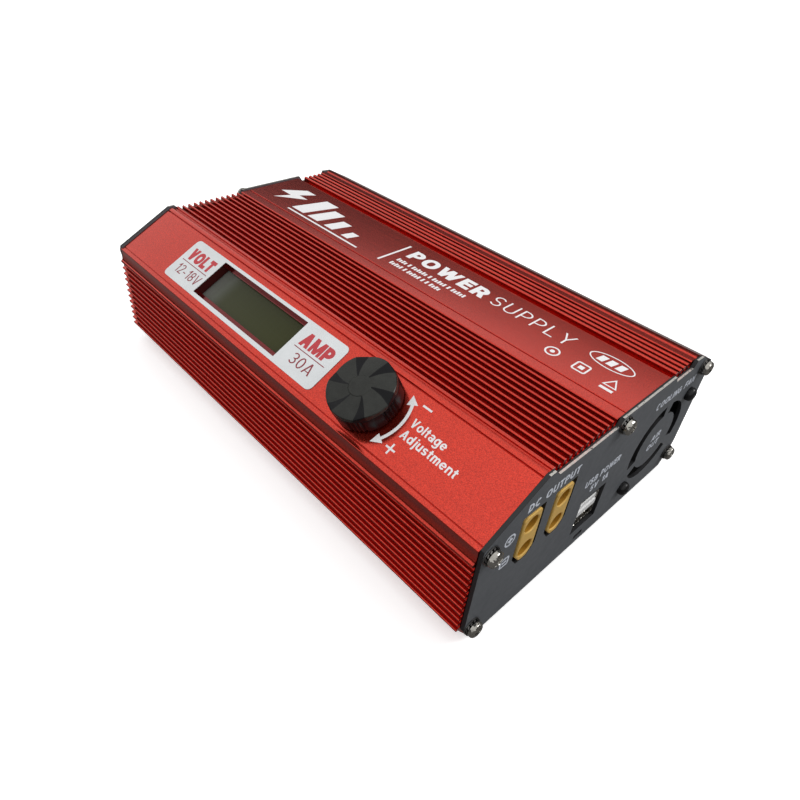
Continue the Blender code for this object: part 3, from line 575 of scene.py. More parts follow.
DARK_RED_INK = Mat("dark_red_ink", rgb=(0.26, 0.03, 0.04))
DARK_RED_INK.vary(by=0.08, scale=1200.0, rough=0.06)
RUBBER = Mat("foot_rubber", rgb=(0.014, 0.014, 0.014), rough=0.8)
RUBBER.vary(by=0.2, scale=400.0, rough=0.1, grain=1500.0, mm=0.03)
GREEN = Mat("solder_mask", rgb=(0.02, 0.14, 0.05), rough=0.35)
GREEN.vary(by=0.25, scale=120.0, rough=0.08)
ALUMINIUM = steel("mill_aluminium", rgb=(0.66, 0.66, 0.66), rough=0.36)
FERRITE = Mat("ferrite", rgb=(0.045, 0.045, 0.047), rough=0.7)
FERRITE.vary(by=0.2, scale=300.0, rough=0.1, grain=1200.0, mm=0.03)
SLEEVE = Mat("capacitor_sleeve", rgb=(0.02, 0.045, 0.13), rough=0.35)
SLEEVE.vary(by=0.12, scale=60.0, rough=0.06)
CREAM = Mat("cream_tape", rgb=(0.66, 0.60, 0.42), rough=0.6)
CREAM.vary(by=0.08, scale=120.0, rough=0.08)
WHITE = Mat("white_moulding", rgb=(0.82, 0.82, 0.82), rough=0.40)
WHITE.vary(by=0.05, scale=200.0, rough=0.06)
COPPER = enamelled_copper()
GLASS = display_glass()

# ------------------------------------------------------------------ CAD nodes: finish
# numbered nodes, by a part of their name
FAMILY_FINISH = {
    "bulk_capacitor": SLEEVE, "output_capacitor": SLEEVE, "contact": GOLD, "inlet_pin": GOLD,
    "rubber_foot": RUBBER, "dc_socket": AMBER, "fan_screw": BLACK_OXIDE, "plate_screw": STEEL,
}
FINISH = {
    "bottom_cover": RED_COVER, "display_label": SILVER, "lcd_glass": GLASS,
    "lcd_backlight": WHITE, "lcd_bezel": BLACK_OXIDE, "control_board": GREEN,
    "main_board": GREEN, "output_board": GREEN, "potentiometer_body": BLACK_OXIDE,
    "potentiometer_nut": NUT, "potentiometer_shaft": STEEL, "fan_frame": FAN,
    "fan_rotor": FAN, "ac_inlet": BLACK, "rocker_frame": BLACK, "rocker_button": BLACK,
    "bridge_rectifier": BLACK, "heatsink_primary": ALUMINIUM,
    "heatsink_secondary": ALUMINIUM, "transformer_core": FERRITE,
    "transformer_winding": CREAM, "line_filter": CREAM, "pfc_choke": COPPER,
    "output_inductor": COPPER, "usb_shell": STEEL, "usb_tongue": WHITE,
    "input_end_plate": SLATE, "output_end_plate": SLATE, "case_extrusion": RED,
    "voltage_knob": KNOB,
}


def finish_of(name):
    for family, mat in FAMILY_FINISH.items():
        if family in name:
            return mat
    return FINISH[name]


for name, node in NODES.items():
    node.data.materials.clear()
    node.data.materials.append(finish_of(name).material)

# ------------------------------------------------------------------ extrusion with fins
SIDE_PITCH = 3.06                        # front and back ribs
SIDE_Z = 9.0                             # lowest rib
TOP_PITCH = 3.04                         # top fins
CASE_TOP = 63.0
FLOOR_Z = 60.0                           # between the top fins
CEIL_Z = 57.4                            # inside
WALL = 4.0                               # under the slope
SLOPE_LEN = 28.3
SCREW_BORES = ((6.2, 46.3), (5.3, 9.4), (72.4, 60.0), (132.2, 57.2), (134.9, 8.8))  # (y, z)
BORE_R = 1.4
WIN_X0, WIN_X1, WIN_S0, WIN_S1 = -55.8, 4.4, 5.2, 24.1    # display window in the slope

# runs of (y, z) section points
FRONT_BROW = [(2.7, 41.6), (1.3, 42.2), (1.0, 42.9), (1.25, 43.5), (1.75, 43.9), (2.25, 44.7),
              (2.5, 45.7), (2.55, 46.7), (2.5, 47.6), (2.4, 48.5), (2.45, 49.15)]
TOP_FRONT = [(29.6, 62.83), (30.4, CASE_TOP), (31.1, CASE_TOP), (31.25, 62.3), (31.85, 62.3),
             (31.95, 62.6), (32.4, 62.6), (32.5, 62.15), (32.9, 62.15), (33.0, 62.75),
             (33.25, CASE_TOP), (34.2, CASE_TOP), (34.45, 62.75), (34.55, FLOOR_Z)]
TOP_LAND = [(69.15, FLOOR_Z), (69.3, 62.5), (69.6, 62.88), (74.1, 62.9), (74.2, 62.5),
            (74.45, 62.5), (74.55, CASE_TOP), (105.3, CASE_TOP), (105.6, 62.8), (105.7, 61.8),
            (107.2, 61.7), (107.4, FLOOR_Z)]
TOP_BACK = [(121.55, 60.3), (121.65, 62.7), (121.95, CASE_TOP), (124.1, CASE_TOP),
            (124.4, 62.75), (125.6, 62.75), (125.95, 63.15), (127.9, 63.15), (128.7, 62.95),
            (138.4, 58.0), (139.9, 56.9), (140.9, 55.3), (141.1, 53.9), (140.2, 52.6)]
INNER_BACK = [(129.8, 2.8), (126.0, 2.8), (126.0, 4.4), (131.2, 4.4), (132.0, 6.8),
              (132.0, 10.2), (133.4, 11.8), (137.4, 12.4), (137.4, 50.0), (137.2, 52.6),
              (134.8, 53.4), (131.6, 53.5), (129.2, 55.0), (128.6, CEIL_Z), (76.6, CEIL_Z),
              (75.0, 56.1), (69.8, 56.1), (68.2, CEIL_Z)]
INNER_FRONT = [(9.7, 47.2), (9.5, 45.0), (8.3, 43.4), (6.4, 42.9), (5.4, 42.0), (4.7, 13.4),
               (6.4, 12.9), (8.2, 11.7), (8.9, 9.6), (8.7, 6.4), (9.6, 4.4), (15.8, 4.4),
               (15.8, 2.8), (12.0, 2.8)]


def crest(cy, cz, ry, rz, start, end):
    """rounded rib tip, a point every 20 degrees"""
    angles = [math.radians(a) for a in range(start, end + 1, 20)]
    return [(cy - ry * math.cos(a), cz + rz * math.sin(a)) for a in angles]


def outer_section():
    p = [(12.0, 0.0), (6.5, 0.0), (1.8, 7.4)]
    for i in range(11):
        z = SIDE_Z + SIDE_PITCH * i
        tip = (z - 8.7) * 0.032          # the front leans back a little
        p += [(tip + 1.6, z - 0.66), *crest(tip + 0.50, z, 0.50, 0.50, -80, 80),
              (tip + 1.6, z + 0.66)]
    p += FRONT_BROW
    p += [slope(-0.1, 0.0), slope(0.7, 0.0), slope(0.92, 0.35), slope(1.14, 0.0),
          slope(SLOPE_LEN - 0.3, 0.0), slope(SLOPE_LEN, 0.75), slope(SLOPE_LEN + 0.3, 0.0)]
    p += TOP_FRONT
    for i in range(11):
        y = 36.65 + TOP_PITCH * i
        p += [(y - 0.82, FLOOR_Z), *crest(y, CASE_TOP - 0.54, 0.56, 0.54, 0, 180),
              (y + 0.82, FLOOR_Z)]
    p += TOP_LAND
    for i in range(4):
        y = 110.5 + 3.02 * i
        p += [(y - 1.0, 60.3), *crest(y, CASE_TOP - 0.60, 0.86, 0.60, 0, 180), (y + 1.0, 60.3)]
    p += TOP_BACK
    for i in range(13, -1, -1):
        z = SIDE_Z + SIDE_PITCH * i
        p += [(140.2, z + 0.85), (141.8, z + 0.45), (141.8, z - 0.45), (140.2, z - 0.85)]
    return p + [(140.0, 7.2), (135.3, 0.0), (129.8, 0.0)]


def inner_section():
    # where the underside of the slope meets the ceiling
    s_top = (CEIL_Z - slope(0, 0)[1] + SLOPE_UP.y * WALL) / SLOPE_UP.z
    return INNER_BACK + [slope(s_top, WALL), slope(6.2, WALL)] + INNER_FRONT


def corner_radius(p):
    """larger on the front brow"""
    return 1.2 if 41.5 < p[1] < 49.0 and p[0] < 3.7 else 0.3


def build_case():
    section = fillet(outer_section(), corner_radius) + inner_section()
    bores = [circle(y, z, BORE_R, 16) for y, z in SCREW_BORES]
    case = piece("case_shell", slab(section, bores, -HALF_LEN, HALF_LEN), RED, on_end(0.0))
    place = on_slope(0.0)
    cut(case, slab(rect(WIN_X0, WIN_X1, WIN_S0, WIN_S1), [], -3.0, 1.0), place)
    cut(case, slab(rect(WIN_X0, WIN_X1, 7.3, 22.9), [], -7.0, -2.0), place)
    cut(case, slab(circle(KNOB_POS.x, KNOB_S, 4.7, 40), [], -7.0, 1.0), place)
    # the walls of the window take a darker copy of the red: painted shade in the recess
    case.data.materials.append(RED_PAINTED_SHADE.material)
    to_slope = place.inverted()
    for polygon in case.data.polygons:
        p = to_slope @ (polygon.center * 1000.0)
        if (WIN_X0 - 0.2 < p.x < WIN_X1 + 0.2 and WIN_S0 - 0.2 < p.y < WIN_S1 + 0.2
                and -6.0 < p.z < -0.05):
            polygon.material_index = 1
    normals = case.modifiers.new("flat_faces", "WEIGHTED_NORMAL")
    normals.keep_sharp = True
    finish_piece(case, "case", smooth=38, replaces="case_extrusion", slot="red_anodised")


build_case()

# ------------------------------------------------------------------ lettering
# A stroke is a band (left points, right points, closed). Letters are drawn with cap height
# 1; w is the width of the letter, t that of its stroke and h half of t.
SMALL = 0.74                             # height of small letters
LEVEL = 1.06                             # level width of a slanted stroke, in strokes


def ribbon(points, t, closed=False):
    """band of width t along a line"""
    n = len(points)
    left, right = [], []
    for i in range(n):
        p = Vector(points[i])
        steps = []
        if i or closed:
            steps.append(p - Vector(points[i - 1]))
        if i < n - 1 or closed:
            steps.append(Vector(points[(i + 1) % n]) - p)
        steps = [step.normalized() for step in steps if step.length > 1e-9]
        normals = [Vector((-step.y, step.x)) for step in steps]
        mitre = sum(normals, Vector((0, 0)))
        mitre.normalize()
        reach = t / 2 / max(0.5, mitre.dot(normals[0]))
        left.append(tuple(p + mitre * reach))
        right.append(tuple(p - mitre * reach))
    return left, right, closed


def quad(a, b, c, d):
    return [a, b], [d, c], False


def bar(x0, x1, y0, y1):
    return quad((x0, y1), (x1, y1), (x1, y0), (x0, y0))


def diagonal(top, foot, width, foot_width=None, y0=0, y1=1):
    """slanted stroke from the left edge of its top to the left edge of its foot"""
    foot_end = foot + (width if foot_width is None else foot_width)
    return quad((top, y1), (top + width, y1), (foot_end, y0), (foot, y0))


def ring(cx, cy, rx, ry, n, t):
    return ribbon(oval(cx, cy, rx, ry, n), t, True)


def pair(w, q, foot_width, y0=0):
    """two strokes from the top corners to one foot in the middle"""
    foot = w / 2 - foot_width / 2
    return [diagonal(0, foot, q, foot_width, y0), diagonal(w - q, foot, q, foot_width, y0)]


def cap_a(w, t):
    q = t * LEVEL
    top = w / 2 - q / 2
    y = 0.22
    edge = y * top + t / 2
    return [diagonal(top, 0, q), diagonal(top, w - q, q), bar(edge, w - edge, y, y + t * 0.8)]


def cap_b(w, t):
    h = t / 2
    upper = arc(w - 0.05 - h - 0.22, 0.76 - h * 0.4, 0.22, 1 - h - 0.76 + h * 0.4, 90, -90)
    lower = arc(w - h - 0.25, 0.26 + h * 0.5, 0.25, 0.26 - h * 0.5, 90, -90)
    return [bar(0, t, 0, 1), ribbon([(t, 1 - h)] + upper + [(t, 0.52)], t * 0.95),
            ribbon([(t, 0.52)] + lower + [(t, h)], t)]


def cap_c(w, t, end=312):
    return [ribbon(arc(w / 2, 0.5, (w - t) / 2, 0.5 - t / 2, 48, end, 24), t)]


def cap_d(w, t):
    h = t / 2
    bow = arc(w - h - 0.34, 0.5, 0.34, 0.5 - h, 90, -90, 14)
    return [bar(0, t, 0, 1), ribbon([(t, 1 - h)] + bow + [(t, h)], t)]


def cap_e(w, t):
    h = t / 2
    return [bar(0, t, 0, 1), bar(t, w, 1 - t, 1), bar(t, w * 0.95, 0.52 - h, 0.52 + h),
            bar(t, w, 0, t)]


def cap_f(w, t):
    h = t / 2
    return [bar(0, t, 0, 1), bar(t, w, 1 - t, 1), bar(t, w * 0.92, 0.50 - h, 0.50 + h)]


def cap_g(w, t):
    h = t / 2
    return cap_c(w, t, 338) + [bar(w * 0.55, w, 0.46 - h, 0.46 + h), bar(w - t, w, 0.12, 0.46)]


def cap_m(w, t):
    q, edge = t * LEVEL, t * 0.86
    return [bar(0, edge, 0, 1), bar(w - edge, w, 0, 1)] + pair(w, q, q * 0.84)


def cap_n(w, t):
    q = t * LEVEL
    return [bar(0, t, 0, 1), bar(w - t, w, 0, 1), diagonal(0, w - q, q)]


def cap_o(w, t):
    """slightly squared oval"""
    def squared(v):
        return math.copysign(abs(v) ** 0.86, v)
    return [ribbon([(w / 2 + (w - t) / 2 * squared(u), 0.5 + (1 - t) / 2 * squared(v))
                    for u, v in oval(0, 0, 1, 1, 32)], t, True)]


def cap_p(w, t):
    h = t / 2
    r = (1 - h - 0.42) / 2
    bow = arc(w - h - r, 1 - h - r, r, r, 90, -90, 12)
    return [bar(0, t, 0, 1), ribbon([(t, 1 - h)] + bow + [(t, 0.42)], t)]


def cap_r(w, t):
    q = t * LEVEL
    return cap_p(w, t) + [diagonal(w * 0.42, w + 0.02 - q, q, y1=0.42)]


def any_s(w, t, height=1.0):
    ry = (height - t) / 4
    rx = (w - t) / 2
    upper = arc(w / 2, height - t / 2 - ry, rx, ry, 25, 270, 14)
    lower = arc(w / 2, t / 2 + ry, rx, ry, 90, -155, 14)
    return [ribbon(upper + lower[1:], t)]


def any_u(w, t, height=1.0):
    h, r = t / 2, (w - t) / 2
    return [ribbon([(h, height)] + arc(w / 2, h + r, r, r, 180, 360, 12) + [(w - h, height)], t)]


def cap_w(w, t):
    q = t * LEVEL * 0.92
    xs = [i * (w - q) / 4 for i in range(5)]
    return [diagonal(xs[i + i % 2], xs[i + 1 - i % 2], q) for i in range(4)]


def cap_y(w, t):
    return pair(w, t * LEVEL, t, 0.42) + [bar(w / 2 - t / 2, w / 2 + t / 2, 0, 0.43)]


def digit_1(w, t):
    h = t / 2
    return [bar(w - t, w, 0, 1), quad((w - t, 1), (w, 1), (w - t, 0.80 - h), (0.04, 0.74 - h))]


def digit_2(w, t):
    h, r = t / 2, (w - t) / 2
    bow = arc(w / 2, 1 - h - r, r, r, 170, -35, 12)
    return [ribbon(bow + [(h + 0.03, h + 0.02)], t), bar(0.02, w, 0, t)]


def digit_3(w, t):
    h, rx, ry = t / 2, (w - t) / 2, (1 - t) / 4
    upper = arc(w / 2, 1 - h - ry, rx, ry, 155, -90, 12)
    return [ribbon(upper + arc(w / 2, h + ry, rx, ry, 90, -155, 12)[1:], t)]


def digit_5(w, t):
    bow = arc(w / 2, 0.33, (w - t) / 2, 0.33 - t / 2, 100, -155, 14)
    return [bar(0.05, w * 0.95, 1 - t, 1), bar(0.04, 0.04 + t, 0.5, 1 - t),
            ribbon([(0.06, 0.56)] + bow, t)]


def digit_8(w, t):
    h, rx, ry = t / 2, (w - t) / 2, (1 - t) / 4
    return [ring(w / 2, 1 - h - ry, rx * 0.88, ry, 20, t), ring(w / 2, h + ry, rx, ry, 20, t)]


def small_a(w, t):
    h = t / 2
    hook = arc(w * 0.5, SMALL - h - 0.16, w * 0.5 - h, 0.16, 160, 0)
    return [ring(w * 0.45, 0.215, w * 0.45 - h, 0.215 - h * 0.8, 20, t * 0.85),
            ribbon(hook + [(w - h, 0.0)], t)]


def bowl(w, t):
    room = w - t / 2 * 0.5
    return ring(room / 2, SMALL / 2, (room - t) / 2, (SMALL - t) / 2, 24, t)


def small_e(w, t):
    h = t / 2
    return [ribbon(arc(w / 2, SMALL / 2, (w - t) / 2, (SMALL - t) / 2, 0, 318, 24), t),
            bar(t * 0.8, w - h, SMALL / 2 - h * 0.8, SMALL / 2 + h * 0.8)]


def small_g(w, t):
    h = t / 2
    tail = arc(w / 2, -0.06, w / 2 - h, 0.19, 0, -150, 12)
    return [bowl(w, t), ribbon([(w - h, SMALL)] + tail, t)]


def small_j(w, t):
    x = w - t / 2
    tail = arc(x - 0.12, -0.10, 0.12, 0.12, 0, -90, 6)
    return [ribbon([(x, SMALL), (x, -0.10)] + tail, t), bar(w - t, w, 1.02 - t, 1.02)]


def small_m(w, t):
    h, r = t / 2, (w - t) / 4
    return [bar(0, t, 0, SMALL)] + [
        ribbon(arc(cx, SMALL - h - r, r, r, 180, 0) + [(cx + r, 0)], t)
        for cx in (h + r, h + 3 * r)]


def small_n(w, t):
    h, r = t / 2, (w - t) / 2
    y = SMALL - h - r
    arch = [(h, y)] + arc(w / 2, y, r, r, 180, 0, 12)[1:] + [(w - h, 0)]
    return [bar(0, t, 0, SMALL), ribbon(arch, t)]


def small_t(w, t):
    x = 0.10 + t / 2
    foot = arc(x + 0.12, 0.14, 0.12, 0.14 - t / 2, 180, 275, 6)
    return [ribbon([(x, 0.94), (x, 0.14)] + foot, t), bar(0, w, SMALL - t, SMALL)]


# character: (fixed width, further width in strokes, strokes from w and t)
GLYPHS = {
    "A": (0.50, 1, cap_a), "B": (0.42, 1, cap_b), "C": (0.52, 1, cap_c), "D": (0.48, 1, cap_d),
    "E": (0.36, 1, cap_e), "F": (0.34, 1, cap_f), "G": (0.54, 1, cap_g),
    "I": (0.0, 1, lambda w, t: [bar(0, t, 0, 1)]),
    "L": (0.36, 1, lambda w, t: [bar(0, t, 0, 1), bar(t, w, 0, t)]),
    "M": (0.62, 1.25, cap_m), "N": (0.46, 1, cap_n), "O": (0.56, 1, cap_o),
    "P": (0.42, 1, cap_p), "R": (0.42, 1, cap_r), "S": (0.42, 1, any_s),
    "T": (0.42, 1, lambda w, t: [bar(0, w, 1 - t, 1),
                                 bar(w / 2 - t / 2, w / 2 + t / 2, 0, 1 - t)]),
    "U": (0.48, 1, any_u),
    "V": (0.50, 1, lambda w, t: pair(w, t * LEVEL, t * LEVEL)),
    "W": (0.78, 1.4, cap_w), "Y": (0.50, 1, cap_y),
    "0": (0.38, 1, lambda w, t: [ring(w / 2, 0.5, (w - t) / 2, (1 - t) / 2, 28, t)]),
    "1": (0.26, 1, digit_1), "2": (0.38, 1, digit_2), "3": (0.38, 1, digit_3),
    "5": (0.38, 1, digit_5), "8": (0.38, 1, digit_8),
    "-": (0.28, 0, lambda w, t: [bar(0, w, 0.36 - t / 2, 0.36 + t / 2)]),
    " ": (0.30, 0, lambda w, t: []),
    "a": (0.40, 1, small_a),
    "d": (0.44, 1, lambda w, t: [bowl(w, t), bar(w - t, w, 0, 1.02)]),
    "e": (0.44, 1, small_e), "g": (0.44, 1, small_g), "j": (0.10, 1, small_j),
    "l": (0.0, 1, lambda w, t: [bar(0, t, 0, 1.02)]),
    "m": (0.60, 1.2, small_m), "n": (0.38, 1, small_n),
    "o": (0.44, 1, lambda w, t: [ring(w / 2, SMALL / 2, (w - t) / 2, (SMALL - t) / 2, 24, t)]),
    "s": (0.34, 1, lambda w, t: any_s(w, t, SMALL)), "t": (0.22, 1, small_t),
    "u": (0.38, 1, lambda w, t: any_u(w, t, SMALL) + [bar(w - t, w, 0, SMALL)]),
}


def words(text, u0, u1, base, cap, stroke, gap, low=0.0, high=0.04):
    """a line of plain lettering filling u0..u1 on a baseline"""
    x, bands = 0.0, []
    for char in text:
        fixed, strokes, draw = GLYPHS[char]
        width = fixed + strokes * stroke
        bands += [(band, x) for band in draw(width, stroke)]
        x += width + (gap if char != " " else 0.0)
    scale = (u1 - u0) / (x - gap)
    verts, faces = [], []
    for count, ((left, right, closed), glyph_x) in enumerate(bands, 1):
        n = len(left)
        o = len(verts)
        # crossing strokes differ a little in height, so that no two faces coincide
        for height in (low - 0.0017 * (count % 5), high + 0.0037 * (count % 5)):
            verts += [(u0 + (glyph_x + u) * scale, base + v * cap, height)
                      for u, v in left + right]
        for i in range(n if closed else n - 1):
            j = (i + 1) % n
            l0, l1, r0, r1 = o + i, o + j, o + n + i, o + n + j
            L0, L1, R0, R1 = (k + 2 * n for k in (l0, l1, r0, r1))     # the upper ones
            faces += [(L0, R0, R1, L1), (l0, l1, r1, r0), (l0, L0, L1, l1), (r0, r1, R1, R0)]
        if not closed:
            faces += [(o, o + n, o + 3 * n, o + 2 * n),
                      (o + n - 1, o + 3 * n - 1, o + 4 * n - 1, o + 2 * n - 1)]
    return verts, faces


def lines(rows, *heights):
    """rows of (text, from, to, baseline, cap height, stroke, gap)"""
    return [words(*row, *heights) for row in rows]


# ------------------------------------------------------------------ printing on the slope
SLOPE_PRINT = on_slope(LEFT)
LABEL_TOP = max((v.co * 1000.0 - KNOB_POS).dot(SLOPE_N)
                for v in NODES["display_label"].data.vertices)
LABEL_INK = (LABEL_TOP + 0.003, LABEL_TOP + 0.03)

piece("label_words", join(lines([
    ("VOLT", 38.2, 56.6, 15.1, 6.4, 0.285, 0.07),
    ("AMP", 123.4, 140.7, 15.1, 6.4, 0.265, 0.07),
], *LABEL_INK)), RED_INK, SLOPE_PRINT)
piece("label_figures", join([
    sheet(rect(37.2, 57.5, 13.65, 14.0), (), *LABEL_INK),
    sheet(rect(122.8, 141.1, 13.65, 14.0), (), *LABEL_INK),
] + lines([
    ("12-18V", 38.4, 57.2, 7.2, 4.9, 0.095, 0.13),
    ("30A", 126.0, 138.6, 7.3, 4.9, 0.095, 0.13),
], *LABEL_INK)), DARK_RED_INK, SLOPE_PRINT)


def knob_arrow():
    """double-headed arc on the +X side of the knob"""
    radius, half, tip = 16.1, 28.5, 42.5     # the line ends at +-half degrees, heads at +-tip

    def polar(r, degrees):
        a = math.radians(degrees)
        return (KNOB_POS.x + r * math.cos(a), KNOB_S + r * math.sin(a))

    sweep = [i * 2 * half / 24 for i in range(25)]
    outline = [polar(radius + 0.6, a - half) for a in sweep]
    outline += [polar(radius + 2.05, half), polar(radius - 0.1, tip), polar(radius - 2.05, half)]
    outline += [polar(radius - 0.6, half - a) for a in sweep]
    outline += [polar(radius - 2.05, -half), polar(radius - 0.1, -tip),
                polar(radius + 2.05, -half)]
    piece("knob_arrow", sheet(outline), WHITE_INK, on_slope(0.0))


knob_arrow()
piece("knob_words", join([
    sheet(rect(182.8, 187.0, 24.0, 24.75)),
    sheet(rect(183.0, 187.2, 5.75, 6.45)),
    sheet(rect(184.75, 185.45, 4.0, 8.2), high=0.045),
] + lines([
    ("Voltage", 184.2, 200.0, 16.0, 3.4, 0.165, 0.10),
    ("Adjustment", 184.2, 209.0, 11.0, 3.4, 0.165, 0.10),
])), WHITE_INK, SLOPE_PRINT)

# ------------------------------------------------------------------ printing on the top land
TOP_PRINT = Matrix.Translation((LEFT, FRONT_Y, CASE_TOP + UNDER_Z))
BOLT = [(0.0, 8.2), (8.6, 18.8), (16.0, 18.8), (11.2, 11.6), (18.4, 11.6), (4.6, 0.0),
        (8.4, 8.2)]
EMBLEM_BARS = ((9.6, 18.8), (8.0, 14.6), (6.4, 10.4), (4.8, 6.2))      # (width, height)
EMBLEM_Y = 80.2


def top_emblem():
    """a bolt, four slanted bars of falling height and a line under them"""
    parts = [sheet([(9.0 + x, EMBLEM_Y + y) for x, y in BOLT])]
    for i, (width, height) in enumerate(EMBLEM_BARS):
        x = 30.0 + 13.2 * i
        parts.append(sheet(slanted(x, x + width, EMBLEM_Y, EMBLEM_Y + height, height * 0.25)))
    parts.append(sheet(slanted(30.0, 84.0, 77.3, 78.3, 0.2)))
    piece("top_emblem", join(parts), WHITE_INK, TOP_PRINT)


def outlined(outline, width):
    return sheet(outline, [inset(outline, width)])


def top_marks():
    """two rows of small ticks, then oval, round, square and triangular marks"""
    pitch = 1.55
    parts = []
    # row y and the number of ticks in each of its groups
    for y, groups in ((84.7, (4, 1, 6, 1, 5, 1, 5)), (80.2, (5, 1, 5, 1, 1, 4))):
        x = 103.8
        for count in groups:
            for j in range(count):
                left = x + j * pitch
                parts.append(sheet(rect(left, left + 1.05, y, y + 2.5 - 0.5 * (j % 2))))
            x += count * pitch + 1.0
    parts.append(outlined(oval(211.4, 95.2, 9.6, 4.4, 40), 0.5))
    for i in range(3):
        parts.append(sheet(slanted(205.4 + 4.1 * i, 208.2 + 4.1 * i, 93.2, 97.2, 0.9)))
    parts += [
        sheet(circle(192.4, 83.6, 3.1, 28), [circle(192.4, 83.6, 2.4, 28)]),
        sheet(circle(192.4, 83.6, 1.0, 16)),
        outlined(round_rect(202.4, 208.6, 80.5, 86.7, 1.2), 0.7),
        sheet(rect(204.4, 206.6, 82.5, 84.7)),
        outlined([(215.4, 81.9), (221.4, 81.9), (218.4, 87.6)], 0.55),
        sheet(rect(215.7, 221.1, 79.2, 80.6)),
    ]
    piece("top_marks", join(parts), WHITE_INK, TOP_PRINT)


top_emblem()
piece("top_words", join([sheet(rect(97.6, 98.7, 78.6, 99.6))] + lines([
    ("POWER", 103.8, 149.8, 90.6, 8.2, 0.24, 0.13),
    ("SUPPLY", 153.8, 194.0, 90.8, 7.8, 0.075, 0.20),
])), WHITE_INK, TOP_PRINT)
top_marks()

# ------------------------------------------------------------------ printing on the end plates
piece("plate_words", join(lines([
    ("DC", 21.9, 28.1, 52.6, 3.6, 0.20, 0.12),
    ("OUTPUT", 30.6, 48.9, 52.6, 3.6, 0.20, 0.12),
]) + [
    sheet(circle(15.7, 45.0, 2.6, 32), [circle(15.7, 45.0, 1.95, 32)]),
    sheet(rect(14.4, 17.0, 44.6, 45.4)),
    sheet(rect(15.3, 16.1, 43.7, 46.3), high=0.045),
    outlined(round_rect(13.4, 18.0, 31.8, 36.2, 1.0), 0.7),
    sheet(rect(14.5, 16.9, 33.6, 34.4)),
] + lines([
    ("USB", 58.4, 66.2, 37.4, 3.4, 0.18, 0.12),
    ("POWER", 68.0, 81.2, 37.4, 3.4, 0.18, 0.12),
    ("5V", 63.6, 68.6, 32.2, 3.3, 0.18, 0.12),
    ("1A", 71.0, 75.6, 32.2, 3.3, 0.18, 0.12),
    ("COOLING", 98.4, 117.6, 51.4, 3.4, 0.17, 0.14),
    ("FAN", 120.2, 128.6, 51.4, 3.4, 0.17, 0.14),
    ("AIR", 108.6, 115.8, 29.9, 3.2, 0.17, 0.14),
    ("OUT", 107.6, 116.8, 25.0, 3.2, 0.17, 0.14),
])), GREY_INK, on_end(PLATE_OUT))
piece("input_words", join(lines([
    ("AC", -113.6, -107.4, 44.4, 3.4, 0.18, 0.12),
    ("IN", -105.2, -100.6, 44.4, 3.4, 0.18, 0.12),
]) + [
    sheet(rect(-66.4, -65.6, 42.6, 46.0)),
    sheet(circle(-66.0, 15.2, 1.9, 28), [circle(-66.0, 15.2, 1.2, 28)]),
]), GREY_INK, on_end(-PLATE_OUT, sign=-1.0))

# ------------------------------------------------------------------ knob
KNOB_LO_m, KNOB_HI_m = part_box("voltage_knob")
KNOB_R = (KNOB_HI_m.x - KNOB_LO_m.x) * 500.0
KNOB_H = 9.7
DISC_R = 4.2                             # plain disc in the middle of the face
BLADES = 6
BLADE_TURN = 60.0                        # degrees from blade to blade
BLADE_POINTS = 26
FACET_POINTS = 6                         # of these, steps up the steep facet
SKIRT_TOP = 6.95
# four flutes at each blade, degrees
FLUTES = [g * BLADE_TURN - 7.7 + 7.5 * i for g in range(BLADES) for i in range(4)]
FLUTE_HALF = 2.9


def blade_reach(r):
    """0 at the disc, 1 at the ends of the blades"""
    return max(0.0, min(1.0, (r - DISC_R) / (KNOB_R - 0.6 - DISC_R)))


def facet_span(reach):
    """degrees of the valley and the ridge; the facet between them widens outwards"""
    u = reach ** 0.85
    return 23.5 - 19.5 * u, 29.0 - 5.0 * u


def blade_angle(k, reach):
    blade, j = divmod(k, BLADE_POINTS)
    valley, ridge = facet_span(reach)
    if j <= FACET_POINTS:
        a = valley + (ridge - valley) * j / FACET_POINTS
    else:
        part = (j - FACET_POINTS) / (BLADE_POINTS - FACET_POINTS)
        a = ridge + (BLADE_TURN - ridge + valley) * part
    return math.radians(a + BLADE_TURN * blade)


def blade_drop(j, reach):
    if j <= FACET_POINTS:
        drop = 1.0 - j / FACET_POINTS
    else:
        drop = ((j - FACET_POINTS) / (BLADE_POINTS - FACET_POINTS)) ** 1.25
    return 0.30 * reach + (0.10 + 0.95 * reach) * drop


def knob_ring(r, drop=0.0, height=None, reach=None):
    if reach is None:
        reach = blade_reach(r)
    points = []
    for k in range(BLADES * BLADE_POINTS):
        a = blade_angle(k, reach)
        j = k % BLADE_POINTS
        hollow = 0.10 * math.sin(math.pi * j / FACET_POINTS) if j <= FACET_POINTS else 0.0
        rr = r - hollow * reach
        z = KNOB_H - blade_drop(j, reach) - drop if height is None else height
        points.append((rr * math.cos(a), rr * math.sin(a), z))
    return points


